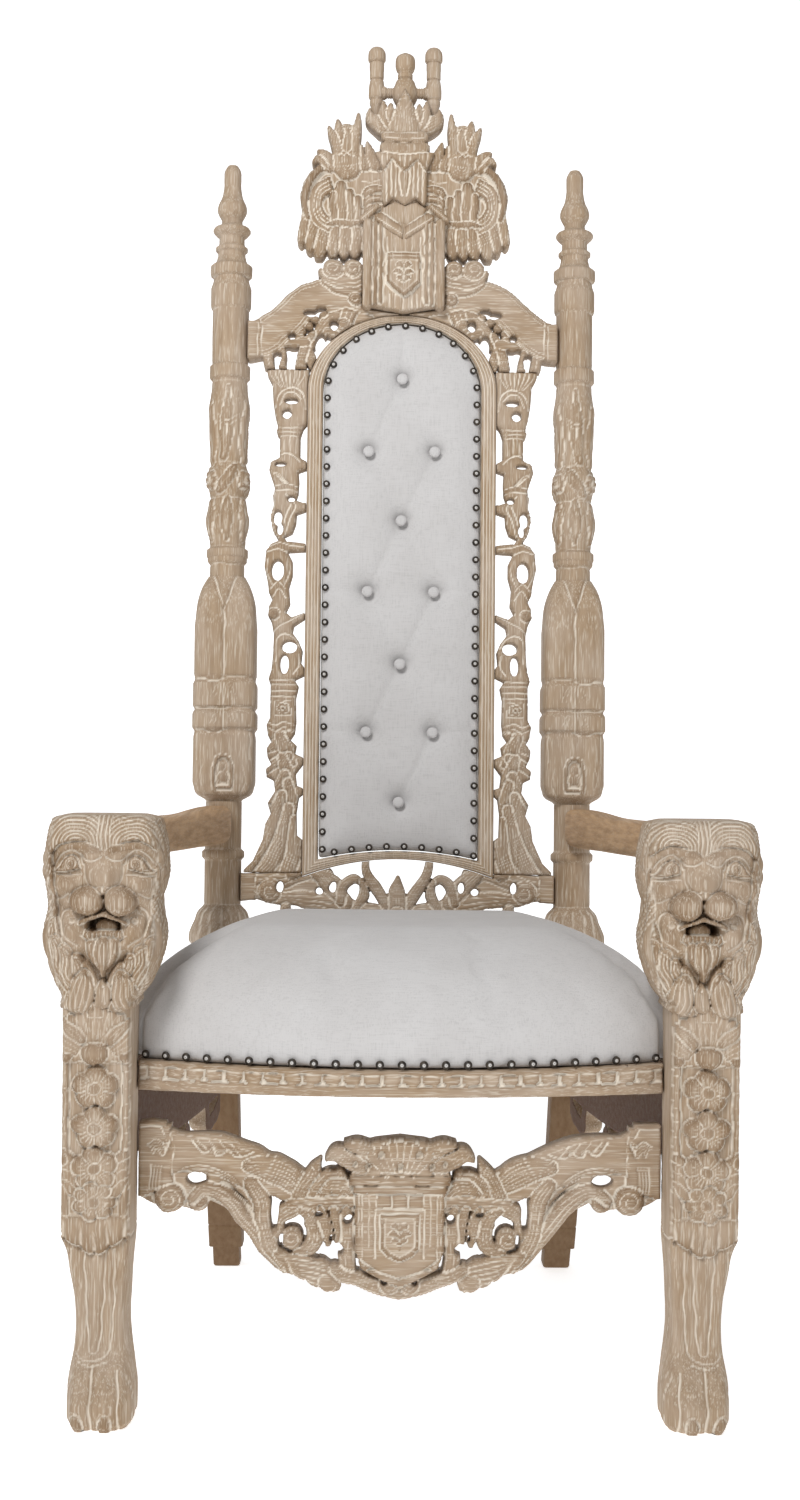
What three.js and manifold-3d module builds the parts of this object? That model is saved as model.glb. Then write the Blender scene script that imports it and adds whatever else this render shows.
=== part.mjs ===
// A tall carved throne: lion-headed front legs, turned rear posts with an arched upholstered back between
// them, pierced frets, a crowned crest and a domed seat. Millimetres, +Z up, the sitter faces -Y, and the
// origin is on the floor under the middle of the chair.
import * as THREE from 'three';
import { mergeVertices } from 'three/addons/utils/BufferGeometryUtils.js';
import Module from 'manifold-3d';

const wasm = await Module();
wasm.setup();

// ---- Driving dimensions ------------------------------------------------------------------------------

const GAP = 0.3; // clearance between pieces that touch

const FRONT_LEG = { centre: 357, half: 42.5, front: -350, back: -258 };
const LION = { centre: 354, front: -356, back: -245 };

const POST = { centre: 253, axis: 168, square: 26, foot: 356, shoulder: 450 };
const RECLINE = THREE.MathUtils.degToRad(3); // the back leans about the posts' axis at the shoulder

const RAIL = { bottom: 378, frontBottom: 385, top: 414, end: -283, bow: 52, thickness: 30 };
const SEAT = { floor: 414.3, edge: 438, crown: 580, side: 345, backSide: 286, back: 136, middle: -95 };
const APRON = { front: -283, back: -257 };
const ARM = { low: 657, high: 706, heel: 711, half: 26 };

const FRAME = { outer: 138, inner: 112, spring: 1318, top: 1421, fabricTop: 1410, front: 145, back: 180 };
const PAD = { bottomMiddle: 647, bottomCorner: 634, front: 150, back: 176, crown: 18 };
const BUTTON = { radius: 9.5, height: 6 };
const BUTTON_ROW = 102.8; // rise from one row of buttons to the next
const BUTTON_SIDE = 48;
const BUTTON_FIRST = 717;

const FRET = { front: 151, back: 171, bottom: 614, top: 1349 };
const LOWER_RAIL = { front: 149, back: 173 };
const CREST_RAIL = { front: 143, back: 175 };
const CREST = { front: 140, back: 174 };

const SIDES = 8; // facets round a carved or turned member

// ---- Materials ---------------------------------------------------------------------------------------

const limedWood = new THREE.MeshStandardMaterial({ color: 0xb5a08a, roughness: 0.75, metalness: 0 });
const brownWood = new THREE.MeshStandardMaterial({ color: 0x96795f, roughness: 0.6, metalness: 0 });
const linen = new THREE.MeshStandardMaterial({ color: 0xcbc9c8, roughness: 0.95, metalness: 0 });

// ---- Solids from three.js geometry -------------------------------------------------------------------

function solid(geometry) {
  const bare = geometry.clone();
  bare.deleteAttribute('normal');
  bare.deleteAttribute('uv');
  const merged = mergeVertices(bare, 1e-4);
  const vertProperties = new Float32Array(merged.attributes.position.array);
  const triVerts = new Uint32Array(merged.index.array);
  const body = new wasm.Manifold(new wasm.Mesh({ numProp: 3, vertProperties, triVerts }));
  if (body.volume() > 0) {
    return body;
  }
  return new wasm.Manifold(new wasm.Mesh({ numProp: 3, vertProperties, triVerts: triVerts.reverse() }));
}

function geometryOf(body) {
  const mesh = body.getMesh();
  const geometry = new THREE.BufferGeometry();
  geometry.setAttribute('position', new THREE.BufferAttribute(new Float32Array(mesh.vertProperties), 3));
  geometry.setIndex(new THREE.BufferAttribute(new Uint32Array(mesh.triVerts), 1));
  return geometry;
}

function join(...bodies) {
  return bodies.flat().reduce((sum, body) => sum.add(body));
}

// The same solid on the other side of the chair, its triangles turned to keep facing out.
function mirrored(body) {
  const geometry = geometryOf(body);
  geometry.scale(-1, 1, 1);
  const index = geometry.index.array;
  for (let i = 0; i < index.length; i += 3) {
    [index[i + 1], index[i + 2]] = [index[i + 2], index[i + 1]];
  }
  return solid(geometry);
}

function bothSides(body) {
  return body.add(mirrored(body));
}

// A closed skin over a stack of rings; each end closes on the middle of its ring.
function skin(rings) {
  const count = rings[0].length;
  const points = rings.flat();
  const index = [];
  for (let r = 0; r < rings.length - 1; r += 1) {
    for (let k = 0; k < count; k += 1) {
      const next = (k + 1) % count;
      const a = r * count + k;
      const b = r * count + next;
      index.push(a, b, b + count, a, b + count, a + count);
    }
  }
  const addEnd = (ring, start, turned) => {
    const middle = ring.reduce((sum, p) => sum.add(p), new THREE.Vector3()).divideScalar(count);
    points.push(middle);
    for (let k = 0; k < count; k += 1) {
      const edge = [start + k, start + ((k + 1) % count)];
      index.push(points.length - 1, ...(turned ? edge.reverse() : edge));
    }
  };
  addEnd(rings[0], 0, true);
  addEnd(rings[rings.length - 1], (rings.length - 1) * count, false);
  const geometry = new THREE.BufferGeometry().setFromPoints(points);
  geometry.setIndex(index);
  return solid(geometry);
}

// A ring between a square and a circle: power 2 is an ellipse, and a high power has nearly square corners.
function ring(centre, across, along, power, count = SIDES) {
  const points = [];
  for (let k = 0; k < count; k += 1) {
    const angle = ((k + 0.5) / count) * Math.PI * 2;
    const bend = (value) => Math.sign(value) * Math.abs(value) ** (2 / power);
    points.push(centre.clone()
      .addScaledVector(across, bend(Math.cos(angle)))
      .addScaledVector(along, bend(Math.sin(angle))));
  }
  return points;
}

// An upright member from level sections [z, x0, x1, y0, y1, power], swollen all round by grow.
function upright(sections, grow = 0, count = SIDES) {
  return skin(sections.map(([z, x0, x1, y0, y1, power], i) => {
    const lift = i === 0 ? -grow : i === sections.length - 1 ? grow : 0;
    const centre = new THREE.Vector3((x0 + x1) / 2, (y0 + y1) / 2, z + lift);
    const across = new THREE.Vector3((x1 - x0) / 2 + grow, 0, 0);
    const along = new THREE.Vector3(0, (y1 - y0) / 2 + grow, 0);
    return ring(centre, across, along, power, count);
  }));
}

// A turned member about the upright axis at (x, y), from a profile of [radius, z].
function turned(profile, x, y, grow = 0, count = SIDES) {
  const points = profile.map(([r, z]) => new THREE.Vector2(r + grow, z));
  points.unshift(new THREE.Vector2(0, profile[0][1] - grow));
  points.push(new THREE.Vector2(0, profile[profile.length - 1][1] + grow));
  const geometry = new THREE.LatheGeometry(points, count);
  geometry.rotateX(Math.PI / 2);
  geometry.translate(x, y, 0);
  return solid(geometry);
}

function ellipsoid(x, y, z, rx, ry, rz, across = 5, high = 4) {
  const geometry = new THREE.SphereGeometry(1, across, high);
  geometry.rotateX(Math.PI / 2);
  geometry.scale(rx, ry, rz);
  geometry.translate(x, y, z);
  return solid(geometry);
}

function block(x0, x1, y0, y1, z0, z1) {
  const geometry = new THREE.BoxGeometry(x1 - x0, y1 - y0, z1 - z0);
  geometry.translate((x0 + x1) / 2, (y0 + y1) / 2, (z0 + z1) / 2);
  return solid(geometry);
}

// An upright plate: a shape drawn in x and z, from the front face back.
function plate(shape, front, back, curveSegments = 5) {
  const depth = back - front;
  const geometry = new THREE.ExtrudeGeometry(shape, { depth, bevelEnabled: false, curveSegments });
  geometry.rotateX(Math.PI / 2);
  geometry.translate(0, back, 0);
  return solid(geometry);
}

function outline(points) {
  return new THREE.Shape(points.map(([x, z]) => new THREE.Vector2(x, z)));
}

// A carved stroke: a smooth line through [x, z, half width], with a pointed tip at each end.
function stroke(points) {
  const line = new THREE.CatmullRomCurve3(points.map(([x, z, w]) => new THREE.Vector3(x, z, w)));
  const count = points.length - 1;
  const left = [];
  const right = [];
  for (let i = 0; i <= count; i += 1) {
    const p = line.getPoint(i / count);
    const t = line.getTangent(i / count).setZ(0).normalize();
    left.push(new THREE.Vector2(p.x - t.y * p.z, p.y + t.x * p.z));
    right.unshift(new THREE.Vector2(p.x + t.y * p.z, p.y - t.x * p.z));
    if (i === count) {
      left.push(new THREE.Vector2(p.x + t.x * p.z * 0.8, p.y + t.y * p.z * 0.8));
    }
    if (i === 0) {
      right.push(new THREE.Vector2(p.x - t.x * p.z * 0.8, p.y - t.y * p.z * 0.8));
    }
  }
  return new THREE.Shape([...left, ...right]);
}

// Strokes joined into one board; those in raised, by number, stand proud of the rest.
function strokes(lists, front, back, raised = [], relief = 4) {
  return join(lists.map((points, i) => (
    plate(stroke(points), raised.includes(i) ? front - relief : front, back))));
}

function disc(x, z, radius, front, back, count = 10) {
  const geometry = new THREE.CylinderGeometry(radius, radius, back - front, count);
  geometry.translate(x, (front + back) / 2, z);
  return solid(geometry);
}

// ---- The scene graph -----------------------------------------------------------------------------------

const throne = new THREE.Group();
const back = new THREE.Group(); // the reclined back, modelled upright and turned about the shoulder
back.position.set(0, POST.axis, POST.shoulder);
back.rotation.x = -RECLINE;
const backInner = new THREE.Group();
backInner.position.set(0, -POST.axis, -POST.shoulder);
back.add(backInner);
throne.add(back);

// The same solid with any sealed hollow left between joined pieces filled.
function filled(body) {
  return join(body.decompose().filter((shell) => shell.volume() > 0));
}

function add(group, name, body, material) {
  const mesh = new THREE.Mesh(geometryOf(filled(body)), material);
  mesh.name = name;
  group.add(mesh);
}

function addPair(group, name, body, material) {
  add(group, `${name}_left`, mirrored(body), material);
  add(group, `${name}_right`, body, material);
}

// ---- Front legs: a lion's paw, a carved shaft and a lion's head, each cut from one piece ----------------

// [z, inner x, outer x, front y, back y, squareness]
const LEG_SECTIONS = [
  [0, 312, 386, -372, -284, 4],
  [12, 308, 390, -374, -280, 4],
  [50, 309, 390, -368, -276, 4],
  [85, 316, 384, -347, -267, 4],
  [146, 315, 383, -345, -264, 4],
  [206, 314, 392, -346, -260, 6],
  [214, 314, 398, -348, -258, 9],
  [470, 314, 400, -350, -258, 9],
  [516, 301, 407, -351, -252, 5],
  [572, 286, 422, -354, -247, 4],
  [606, 289, 419, -356, -246, 4],
  [650, 284, 424, -356, -245, 4],
  [700, 290, 418, -351, -247, 4],
  [713, 304, 404, -340, -260, 4],
];

function legBody(grow = 0) {
  return upright(LEG_SECTIONS, grow);
}

// A lock of mane: a strand that swings from a root to a tip, widest in the middle.
function lock(from, to, sway, width, depth) {
  const steps = 2;
  const start = new THREE.Vector3(...from);
  const end = new THREE.Vector3(...to);
  const run = end.clone().sub(start);
  const side = new THREE.Vector3(-run.z, 0, run.x).normalize();
  const rings = [];
  for (let i = 0; i <= steps; i += 1) {
    const t = i / steps;
    const swell = 0.25 + 0.75 * Math.sin(Math.PI * Math.min(1, 0.2 + 0.75 * t));
    const swing = sway * Math.sin(t * Math.PI * 1.6);
    const centre = start.clone().addScaledVector(run, t).addScaledVector(side, swing);
    const across = side.clone().multiplyScalar((width / 2) * swell);
    const out = new THREE.Vector3(0, (-depth / 2) * swell, 0);
    rings.push(ring(centre, across, out, 2, 3));
  }
  return skin(rings);
}

function lionHead() {
  const { centre: x, front: y } = LION;
  const parts = [
    ellipsoid(x, y - 3, 642, 14, 16, 34), // bridge and tip of the nose
    ellipsoid(x, y - 2, 562, 22, 12, 11, 5, 3), // lower jaw
    lock([x, y - 6, 560], [x, y + 2, 526], 3, 30, 22), // beard
  ];
  [-1, 1].forEach((side) => {
    parts.push(ellipsoid(x + side * 15, y - 7, 611, 17, 15, 17));
    parts.push(ellipsoid(x + side * 37, y + 1, 658, 13, 9, 8, 5, 3)); // eye
    parts.push(ellipsoid(x + side * 36, y + 3, 672, 27, 11, 8, 5, 3)); // brow
    parts.push(lock([x + side * 8, y + 6, 709], [x + side * 30, y + 2, 682], side * 6, 40, 16)); // fringe
    for (let i = 0; i < 3; i += 1) { // mane beside the face
      const z = 692 - i * 58;
      const out = 56 - i * 7;
      const tip = [x + side * (out - i * 10), y + 4, z - 68];
      parts.push(lock([x + side * out, y + 8, z], tip, side * 7, 32, 20));
    }
  });
  const mouth = ellipsoid(x, y - 22, 583, 21, 26, 10, 6, 4);
  return join(parts).subtract(mouth);
}

function rosette(x, y, z, radius) {
  const shape = new THREE.Shape();
  const petals = 5;
  const points = petals * 2;
  for (let i = 0; i < points; i += 1) {
    const angle = (i / points) * Math.PI * 2 + Math.PI / 2;
    const r = radius * (i % 2 === 0 ? 1.04 : 0.8);
    const place = [x + r * Math.cos(angle) * 1.04, z + r * Math.sin(angle) * 0.98];
    if (i === 0) {
      shape.moveTo(...place);
    } else {
      shape.lineTo(...place);
    }
  }
  return join(plate(shape, y - 6, y + 4), disc(x, z, 8, y - 10, y - 3, 4));
}

// A shell: lobes round a hub, between two angles measured from straight up.
function fan(x, z, hub, reach, spread, lobes, front, back) {
  const points = [];
  const at = (r, angle) => points.push([x + r * Math.sin(angle), z + r * Math.cos(angle)]);
  at(hub, spread);
  at(hub, -spread);
  for (let i = 0; i <= lobes * 2; i += 1) {
    at(reach * (i % 2 === 0 ? 0.84 : 1), spread * (i / lobes - 1));
  }
  return plate(outline(points), front, back);
}

const ROSETTES = [395, 348, 301, 263];

function legCarving() {
  const { centre: x, front: y } = FRONT_LEG;
  const parts = ROSETTES.map((z, i) => rosette(x, y, z, i === 3 ? 20 : 25));
  parts.push(fan(x, 446, 4, 34, 1.25, 5, y - 5, y + 6)); // shell
  const bracket = outline([[x - 38, 424], [x - 34, 442], [x + 34, 442], [x + 38, 424]]);
  parts.push(plate(bracket, y - 4, y + 6));
  parts.push(disc(x, 433, 14, y - 9, y, 6)); // its boss
  [-1, 1].forEach((side) => {
    const leaf = [[x + side * 4, 497, 6], [x + side * 22, 488, 12], [x + side * 34, 482, 5]];
    parts.push(plate(stroke(leaf), y - 8, y + 6));
  });
  const skirt = [[x - 37, 250]]; // acanthus skirt over the knee
  for (let i = -3; i <= 3; i += 1) {
    skirt.push([x + i * 12, 220 - 6 * (3 - Math.abs(i)) + (i % 2 === 0 ? 5 : -5)]);
  }
  skirt.push([x + 37, 250]);
  parts.push(plate(outline(skirt), y - 5, y + 8));
  // the tendon: two cords that run down to the paw and meet in a loop
  [-1, 1].forEach((side) => {
    const cord = [[x - 7 + side * 20, 204, 5], [x - 8 + side * 9, 78, 4]];
    parts.push(plate(stroke(cord), y - 1, y + 12));
  });
  return join(parts);
}

function paw() {
  const toes = [];
  for (let i = 0; i < 4; i += 1) {
    const outer = i === 0 || i === 3;
    const x = 320 + i * 19.5;
    toes.push(ellipsoid(x, outer ? -358 : -364, 28, 11, outer ? 15 : 17, outer ? 26 : 30, 6, 3));
  }
  return join(toes).subtract(block(280, 420, -420, -240, -60, 0));
}

addPair(throne, 'front_leg', join(legBody(), lionHead(), legCarving(), paw()), limedWood);

// ---- Rear posts: a swept square leg, then turned and carved work up to the finial ----------------------

// [radius, z] above the shoulder
const TURNED_LOWER = [
  [25, 445], [25, 506], [47, 514], [33, 562], [26, 568], [29, 640], [26, 716],
];
const TURNED_UPPER = [
  [25, 1040], [25, 1068], [30, 1078], [25, 1088], [28.5, 1124], [24.5, 1150], [29, 1186], [24.5, 1212],
  [28.5, 1286], [25, 1330], [28, 1346], [28, 1442], [24, 1484], [29, 1496], [18.5, 1510], [22.5, 1528],
  [18.5, 1544], [26, 1555], [15.5, 1568], [21, 1586], [10, 1654],
];
// the fat carved block: [z, half width, half depth, squareness]
const FAT_BLOCK = [
  [712, 36, 33, 6], [724, 45, 38, 6], [822, 44, 37, 6], [830, 47, 41, 6], [902, 46, 40, 6], [1000, 44, 38, 5],
  [1044, 26, 26, 2],
];

function reclined(body) {
  const geometry = geometryOf(body);
  geometry.translate(0, -POST.axis, -POST.shoulder);
  geometry.rotateX(-RECLINE);
  geometry.translate(0, POST.axis, POST.shoulder);
  return solid(geometry);
}

function rearLeg(grow = 0) {
  const sections = [];
  const heights = [0, 35, 35.5, 140, 240, 350, 470];
  heights.forEach((z) => {
    const drop = Math.max(0, POST.shoulder - z) / POST.shoulder;
    const y = POST.axis + (POST.foot - POST.axis) * drop ** 1.5;
    const wide = z <= 35 ? POST.square * 0.78 : POST.square;
    const deep = z <= 35 ? POST.square * 0.95 : POST.square;
    sections.push([z, POST.centre - wide, POST.centre + wide, y - deep, y + deep, 20]);
  });
  return upright(sections, grow, 4);
}

function fatBlock(grow = 0) {
  return upright(FAT_BLOCK.map(([z, wide, deep, power]) => (
    [z, POST.centre - wide, POST.centre + wide, POST.axis - deep, POST.axis + deep, power])), grow);
}

function postTurning(grow = 0) {
  return join(
    turned(TURNED_LOWER, POST.centre, POST.axis, grow),
    turned(TURNED_UPPER, POST.centre, POST.axis, grow),
    fatBlock(grow),
  );
}

function postCarving() {
  const { centre: x, axis: y } = POST;
  const parts = [];
  const face = y - 40;
  // the fat block's leaf, with an arched panel at its foot
  [-1, 1].forEach((side) => {
    parts.push(plate(stroke([[x + side * 18, 914, 4], [x + side * 3, 1010, 3]]), face - 1, y));
  });
  const niche = outline([[x - 14, 726], [x - 14, 754], [x, 772], [x + 14, 754], [x + 14, 726]]);
  parts.push(plate(niche, face - 2, y));
  // a flower and leaves on the upper post
  parts.push(rosette(x, y - 25, 1186, 17));

  // flutes that spread over the knob above the seat
  const flutes = 3;
  for (let i = 0; i < flutes; i += 1) {
    const angle = Math.PI * (1 + (i + 0.5) / flutes);
    const out = [Math.cos(angle), Math.sin(angle)];
    const at = (reach, z) => [x + reach * out[0], y + reach * out[1], z];
    parts.push(lock(at(34, 560), at(46, 511), 0, 18, 10));
  }
  return join(parts);
}

addPair(throne, 'rear_post', join(rearLeg(), reclined(join(postTurning(), postCarving()))), limedWood);

const legClearance = bothSides(legBody(GAP));
const postClearanceUpright = bothSides(postTurning(GAP));
const postClearance = bothSides(join(rearLeg(GAP), reclined(postTurning(GAP))));

// ---- Arms ----------------------------------------------------------------------------------------------

function arm() {
  const from = new THREE.Vector3(LION.centre, LION.back - 8, 0);
  const to = new THREE.Vector3(POST.centre + 6, POST.axis + 6, 0);
  const along = to.clone().sub(from);
  const across = new THREE.Vector3(along.y, -along.x, 0).normalize().negate();
  // [share of the length, top, half width]
  const sections = [[0, ARM.high, ARM.half], [0.66, ARM.high, ARM.half], [0.8, ARM.heel - 1, ARM.half],
    [0.95, ARM.heel - 1, 24], [1, ARM.heel - 3, 20]];
  return skin(sections.map(([share, top, half]) => {
    const low = share > 0.9 ? ARM.low + 8 : ARM.low;
    const centre = from.clone().addScaledVector(along, share).setZ((top + low) / 2);
    const up = new THREE.Vector3(0, 0, (top - low) / 2);
    return ring(centre, across.clone().multiplyScalar(half), up, 4, 8);
  }));
}

addPair(throne, 'arm', arm().subtract(legClearance).subtract(postClearance), brownWood);

// ---- Seat frame and cushion ------------------------------------------------------------------------------

// A board with its plan drawn in x and y, from one height to another.
function planBoard(shape, bottom, top) {
  const depth = top - bottom;
  const geometry = new THREE.ExtrudeGeometry(shape, { depth, bevelEnabled: false, curveSegments: 8 });
  geometry.translate(0, 0, bottom);
  return solid(geometry);
}

function bowedFront(reach, y0, bow) {
  const shape = new THREE.Shape();
  shape.moveTo(reach, y0);
  shape.quadraticCurveTo(0, y0 - bow * 2, -reach, y0);
  return shape;
}

function frontRail() {
  const reach = FRONT_LEG.centre;
  const board = (inset, bottom, top) => {
    const shape = bowedFront(reach, RAIL.end + inset, RAIL.bow);
    const inner = RAIL.end + RAIL.thickness + inset;
    shape.lineTo(-reach, inner);
    shape.quadraticCurveTo(0, inner - RAIL.bow, reach, inner);
    return planBoard(shape, bottom, top);
  };
  const parts = [board(0, RAIL.frontBottom, RAIL.frontBottom + 10), board(4, RAIL.frontBottom + 6, RAIL.top)];
  const dentils = 4; // on each side of the middle
  for (let i = -dentils; i <= dentils; i += 1) {
    const x = i * 69;
    const y = RAIL.end + 4 - RAIL.bow * (1 - (x / reach) ** 2);
    parts.push(block(x - 28, x + 28, y - 3, y + 8, RAIL.frontBottom + 11, RAIL.top - 4));
  }
  return join(parts);
}

function sideRail() {
  const front = FRONT_LEG.back - 12;
  const rear = POST.axis;
  const shape = outline([[353, front], [271, rear], [243, rear], [325, front]]);
  return planBoard(shape, RAIL.bottom, RAIL.top);
}

const rearReach = POST.centre - POST.square / 2;
const rearRail = block(-rearReach, rearReach, POST.axis - 14, POST.axis + 14, RAIL.bottom, RAIL.top);

const betweenLegs = block(-316, 316, -420, -200, 0, 500);
add(throne, 'seat_rail_front', frontRail().intersect(betweenLegs).subtract(legClearance), limedWood);
addPair(throne, 'seat_rail', sideRail().subtract(legClearance).subtract(postClearance), limedWood);
add(throne, 'seat_rail_rear', rearRail.subtract(postClearance), limedWood);

// The cushion's plan, from its middle: bowed in front, stepped in behind the lions, narrower at the back.
function cushionPlan() {
  const inner = FRONT_LEG.centre - FRONT_LEG.half - 0.8;
  const y = FRONT_LEG.back + 1;
  const half = [];
  const steps = 5;
  for (let i = 0; i <= steps; i += 1) {
    const x = (inner * i) / steps;
    half.push([x, RAIL.end - RAIL.bow * (1 - (x / inner) ** 2)]);
  }
  half.push([inner, y], [SEAT.side, y], [(SEAT.side + SEAT.backSide) / 2 + 4, (y + SEAT.back) / 2]);
  half.push([SEAT.backSide, SEAT.back - 12], [SEAT.backSide - 14, SEAT.back]);
  const other = half.slice(1).reverse().map(([x, v]) => [-x, v]);
  return [...half, ...other];
}

function cushion() {
  const plan = cushionPlan();
  const level = (scale, z) => plan.map(([x, y]) => (
    new THREE.Vector3(x * scale, SEAT.middle + (y - SEAT.middle) * scale, z)));
  const rings = [level(0.985, SEAT.floor), level(1, SEAT.floor + 8), level(0.995, SEAT.edge)];
  [0.95, 0.84, 0.64, 0.32].forEach((scale) => {
    rings.push(level(scale, SEAT.edge + (SEAT.crown - SEAT.edge) * (1 - scale ** 3.2) ** 0.62));
  });
  return skin(rings);
}

const headRoom = bothSides(upright([
  [440, 314, 400, -352, -256, 6], [497, 302, 402, -362, -254, 4], [530, 288, 418, -372, -246, 4],
  [600, 274, 430, -380, -242, 4],
], GAP));

add(throne, 'seat_cushion', cushion().subtract(headRoom).subtract(legClearance).subtract(postClearance), linen);

// ---- Front apron: a pierced board of scrolls and leaves with a crowned shield ----------------------------

// Strokes of the right half, [x, z, half width]
const APRON_STROKES = [
  [[330, 302, 34], [274, 306, 21], [242, 304, 22], [204, 296, 24], [158, 277, 22], [124, 260, 17], [91, 246, 11],
    [50, 239, 7]],
  [[276, 300, 20], [278, 252, 17]], // end block, down to its volute
  [[168, 284, 14], [156, 304, 3]],
  [[140, 270, 14], [121, 296, 4]],
  [[111, 255, 12], [96, 299, 4]],
  [[88, 246, 12], [66, 284, 5]],
  [[248, 246, 9], [234, 255, 10], [200, 240, 11], [166, 204, 11], [136, 170, 9]],
  [[172, 264, 12], [166, 216, 9], [132, 166, 8]],
  [[129, 248, 9], [99, 225, 9], [103, 198, 9], [118, 188, 9]],
  [[139, 176, 8], [112, 161, 16], [80, 146, 8]],
  [[90, 240, 7], [78, 204, 8], [90, 168, 9]],
  [[62, 232, 7], [67, 185, 12], [57, 158, 9]],
  [[68, 162, 10], [19, 143, 9], [-6, 132, 7]],
];

const APRON_VOLUTES = [[276, 249, 18.6], [246, 243, 12.6], [131, 202, 12]];

function crownedShield() {
  const { front } = APRON;
  const half = 54;
  const shield = outline([[-half, 262], [-half, 190], [-half + 8, 166], [-20, 154], [0, 144], [20, 154],
    [half - 8, 166], [half, 190], [half, 262]]);
  const inner = outline([[-23, 236], [-23, 194], [-14, 186], [0, 180], [14, 186], [23, 194], [23, 236]]);
  const parts = [
    plate(shield, front - 14, front + 20),
    block(-57, 57, front - 19, front + 20, 260, 270), // cornice
    block(-61, 61, front - 22, front + 20, 270, 282),
    plate(inner, front - 19, front),
  ];
  const crown = outline([[-59, 282], [-55, 300], [-49, 316], [-30, 322], [0, 326], [30, 322], [49, 316], [55, 300],
    [59, 282]]);
  parts.push(plate(crown, front - 24, front + 16));
  const tips = bothSides(plate(stroke([[50, 294, 12], [66, 303, 11], [85, 302, 4]]), front - 18, front + 12));
  return join(join(parts), tips);
}

function apron() {
  const { front, back: rear } = APRON;
  const half = join(
    strokes(APRON_STROKES, front, rear),
    APRON_VOLUTES.map(([x, z, r]) => disc(x, z, r, front - 4, rear, 7)),
  );
  return join(bothSides(half), crownedShield());
}

add(throne, 'front_apron', apron().intersect(betweenLegs).subtract(legClearance), limedWood);

// ---- Side aprons: scrolled boards under the side rails ---------------------------------------------------

// Strokes along the side, [distance behind the front leg, z, half width]
const SIDE_STROKES = [
  [[-30, 338, 38], [100, 336, 40], [200, 334, 42], [330, 336, 40], [430, 342, 34]],
  [[60, 308, 16], [130, 282, 15], [190, 266, 14], [240, 274, 11]], // scrolls that meet over an opening
  [[430, 312, 16], [382, 278, 13], [345, 268, 11], [334, 300, 10]],
];

function sideApron() {
  const start = new THREE.Vector2(FRONT_LEG.centre - 18, FRONT_LEG.back);
  const end = new THREE.Vector2(POST.centre, POST.axis);
  const board = strokes(SIDE_STROKES, -9, 9);
  const roof = block(-60, 480, -40, 40, RAIL.bottom - GAP, RAIL.bottom + 60);
  const geometry = geometryOf(board.subtract(roof));
  geometry.rotateZ(Math.atan2(end.y - start.y, end.x - start.x));
  geometry.translate(start.x, start.y, 0);
  return solid(geometry);
}

addPair(throne, 'side_apron', sideApron().subtract(legClearance).subtract(postClearance), limedWood);

// ---- Back: frame, frets, rails, crest, pad and buttons, all in the upright frame of the back ---------------

// The arch of the back, grown by a margin: straight sides, an elliptical top and a hollowed foot.
function archShape(half, top, footCorner, footMiddle, margin = 0) {
  const reach = half + margin;
  const shape = new THREE.Shape();
  shape.moveTo(reach, footCorner - margin);
  shape.lineTo(reach, FRAME.spring);
  shape.absellipse(0, FRAME.spring, reach, top + margin - FRAME.spring, 0, Math.PI, false);
  shape.lineTo(-reach, footCorner - margin);
  shape.quadraticCurveTo(0, 2 * (footMiddle - margin) - (footCorner - margin), reach, footCorner - margin);
  return shape;
}

const FRAME_FOOT = { corner: 609, middle: 635 };

function frameOutline(margin = 0) {
  return archShape(FRAME.outer, FRAME.top, FRAME_FOOT.corner, FRAME_FOOT.middle, margin);
}

function padOutline(margin = 0) {
  return archShape(FRAME.inner, FRAME.fabricTop, PAD.bottomCorner, PAD.bottomMiddle, margin);
}

function backFrame() {
  const { front, back: rear } = FRAME;
  const lip = archShape(FRAME.outer - 9, FRAME.top - 4, FRAME_FOOT.corner + 4, FRAME_FOOT.middle + 3);
  const body = join(plate(frameOutline(), front + 5, rear), plate(lip, front, rear - 5));
  return body.subtract(plate(padOutline(), front - 40, rear + 40));
}

const frameClearance = plate(frameOutline(GAP), FRAME.front - 60, FRAME.back + 60);

add(backInner, 'back_frame', backFrame(), limedWood);

// A pad with a crowned front that rolls over at its edges.
function backPad() {
  const layers = [plate(padOutline(-GAP), PAD.front, PAD.back)];
  [[6, 0.6], [24, 1]].forEach(([inset, share]) => {
    layers.push(plate(padOutline(-GAP - inset), PAD.front - PAD.crown * share, PAD.back));
  });
  return join(layers);
}

add(backInner, 'back_pad', backPad(), linen);

// Covered buttons in five rows, alternately one on the centre line and two beside it.
let buttonNumber = 0;
for (let row = 0; row < 7; row += 1) {
  const places = row % 2 === 0 ? [0] : [-BUTTON_SIDE, BUTTON_SIDE];
  places.forEach((x) => {
    buttonNumber += 1;
    const y = PAD.front - PAD.crown - GAP;
    const profile = [[BUTTON.radius, 0], [BUTTON.radius * 0.6, BUTTON.height]];
    const geometry = geometryOf(turned(profile, 0, 0, 0, 6));
    geometry.rotateX(Math.PI / 2);
    geometry.translate(x, y, BUTTON_FIRST + row * BUTTON_ROW);
    add(backInner, `back_button_${buttonNumber}`, solid(geometry), linen);
  });
}

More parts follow.
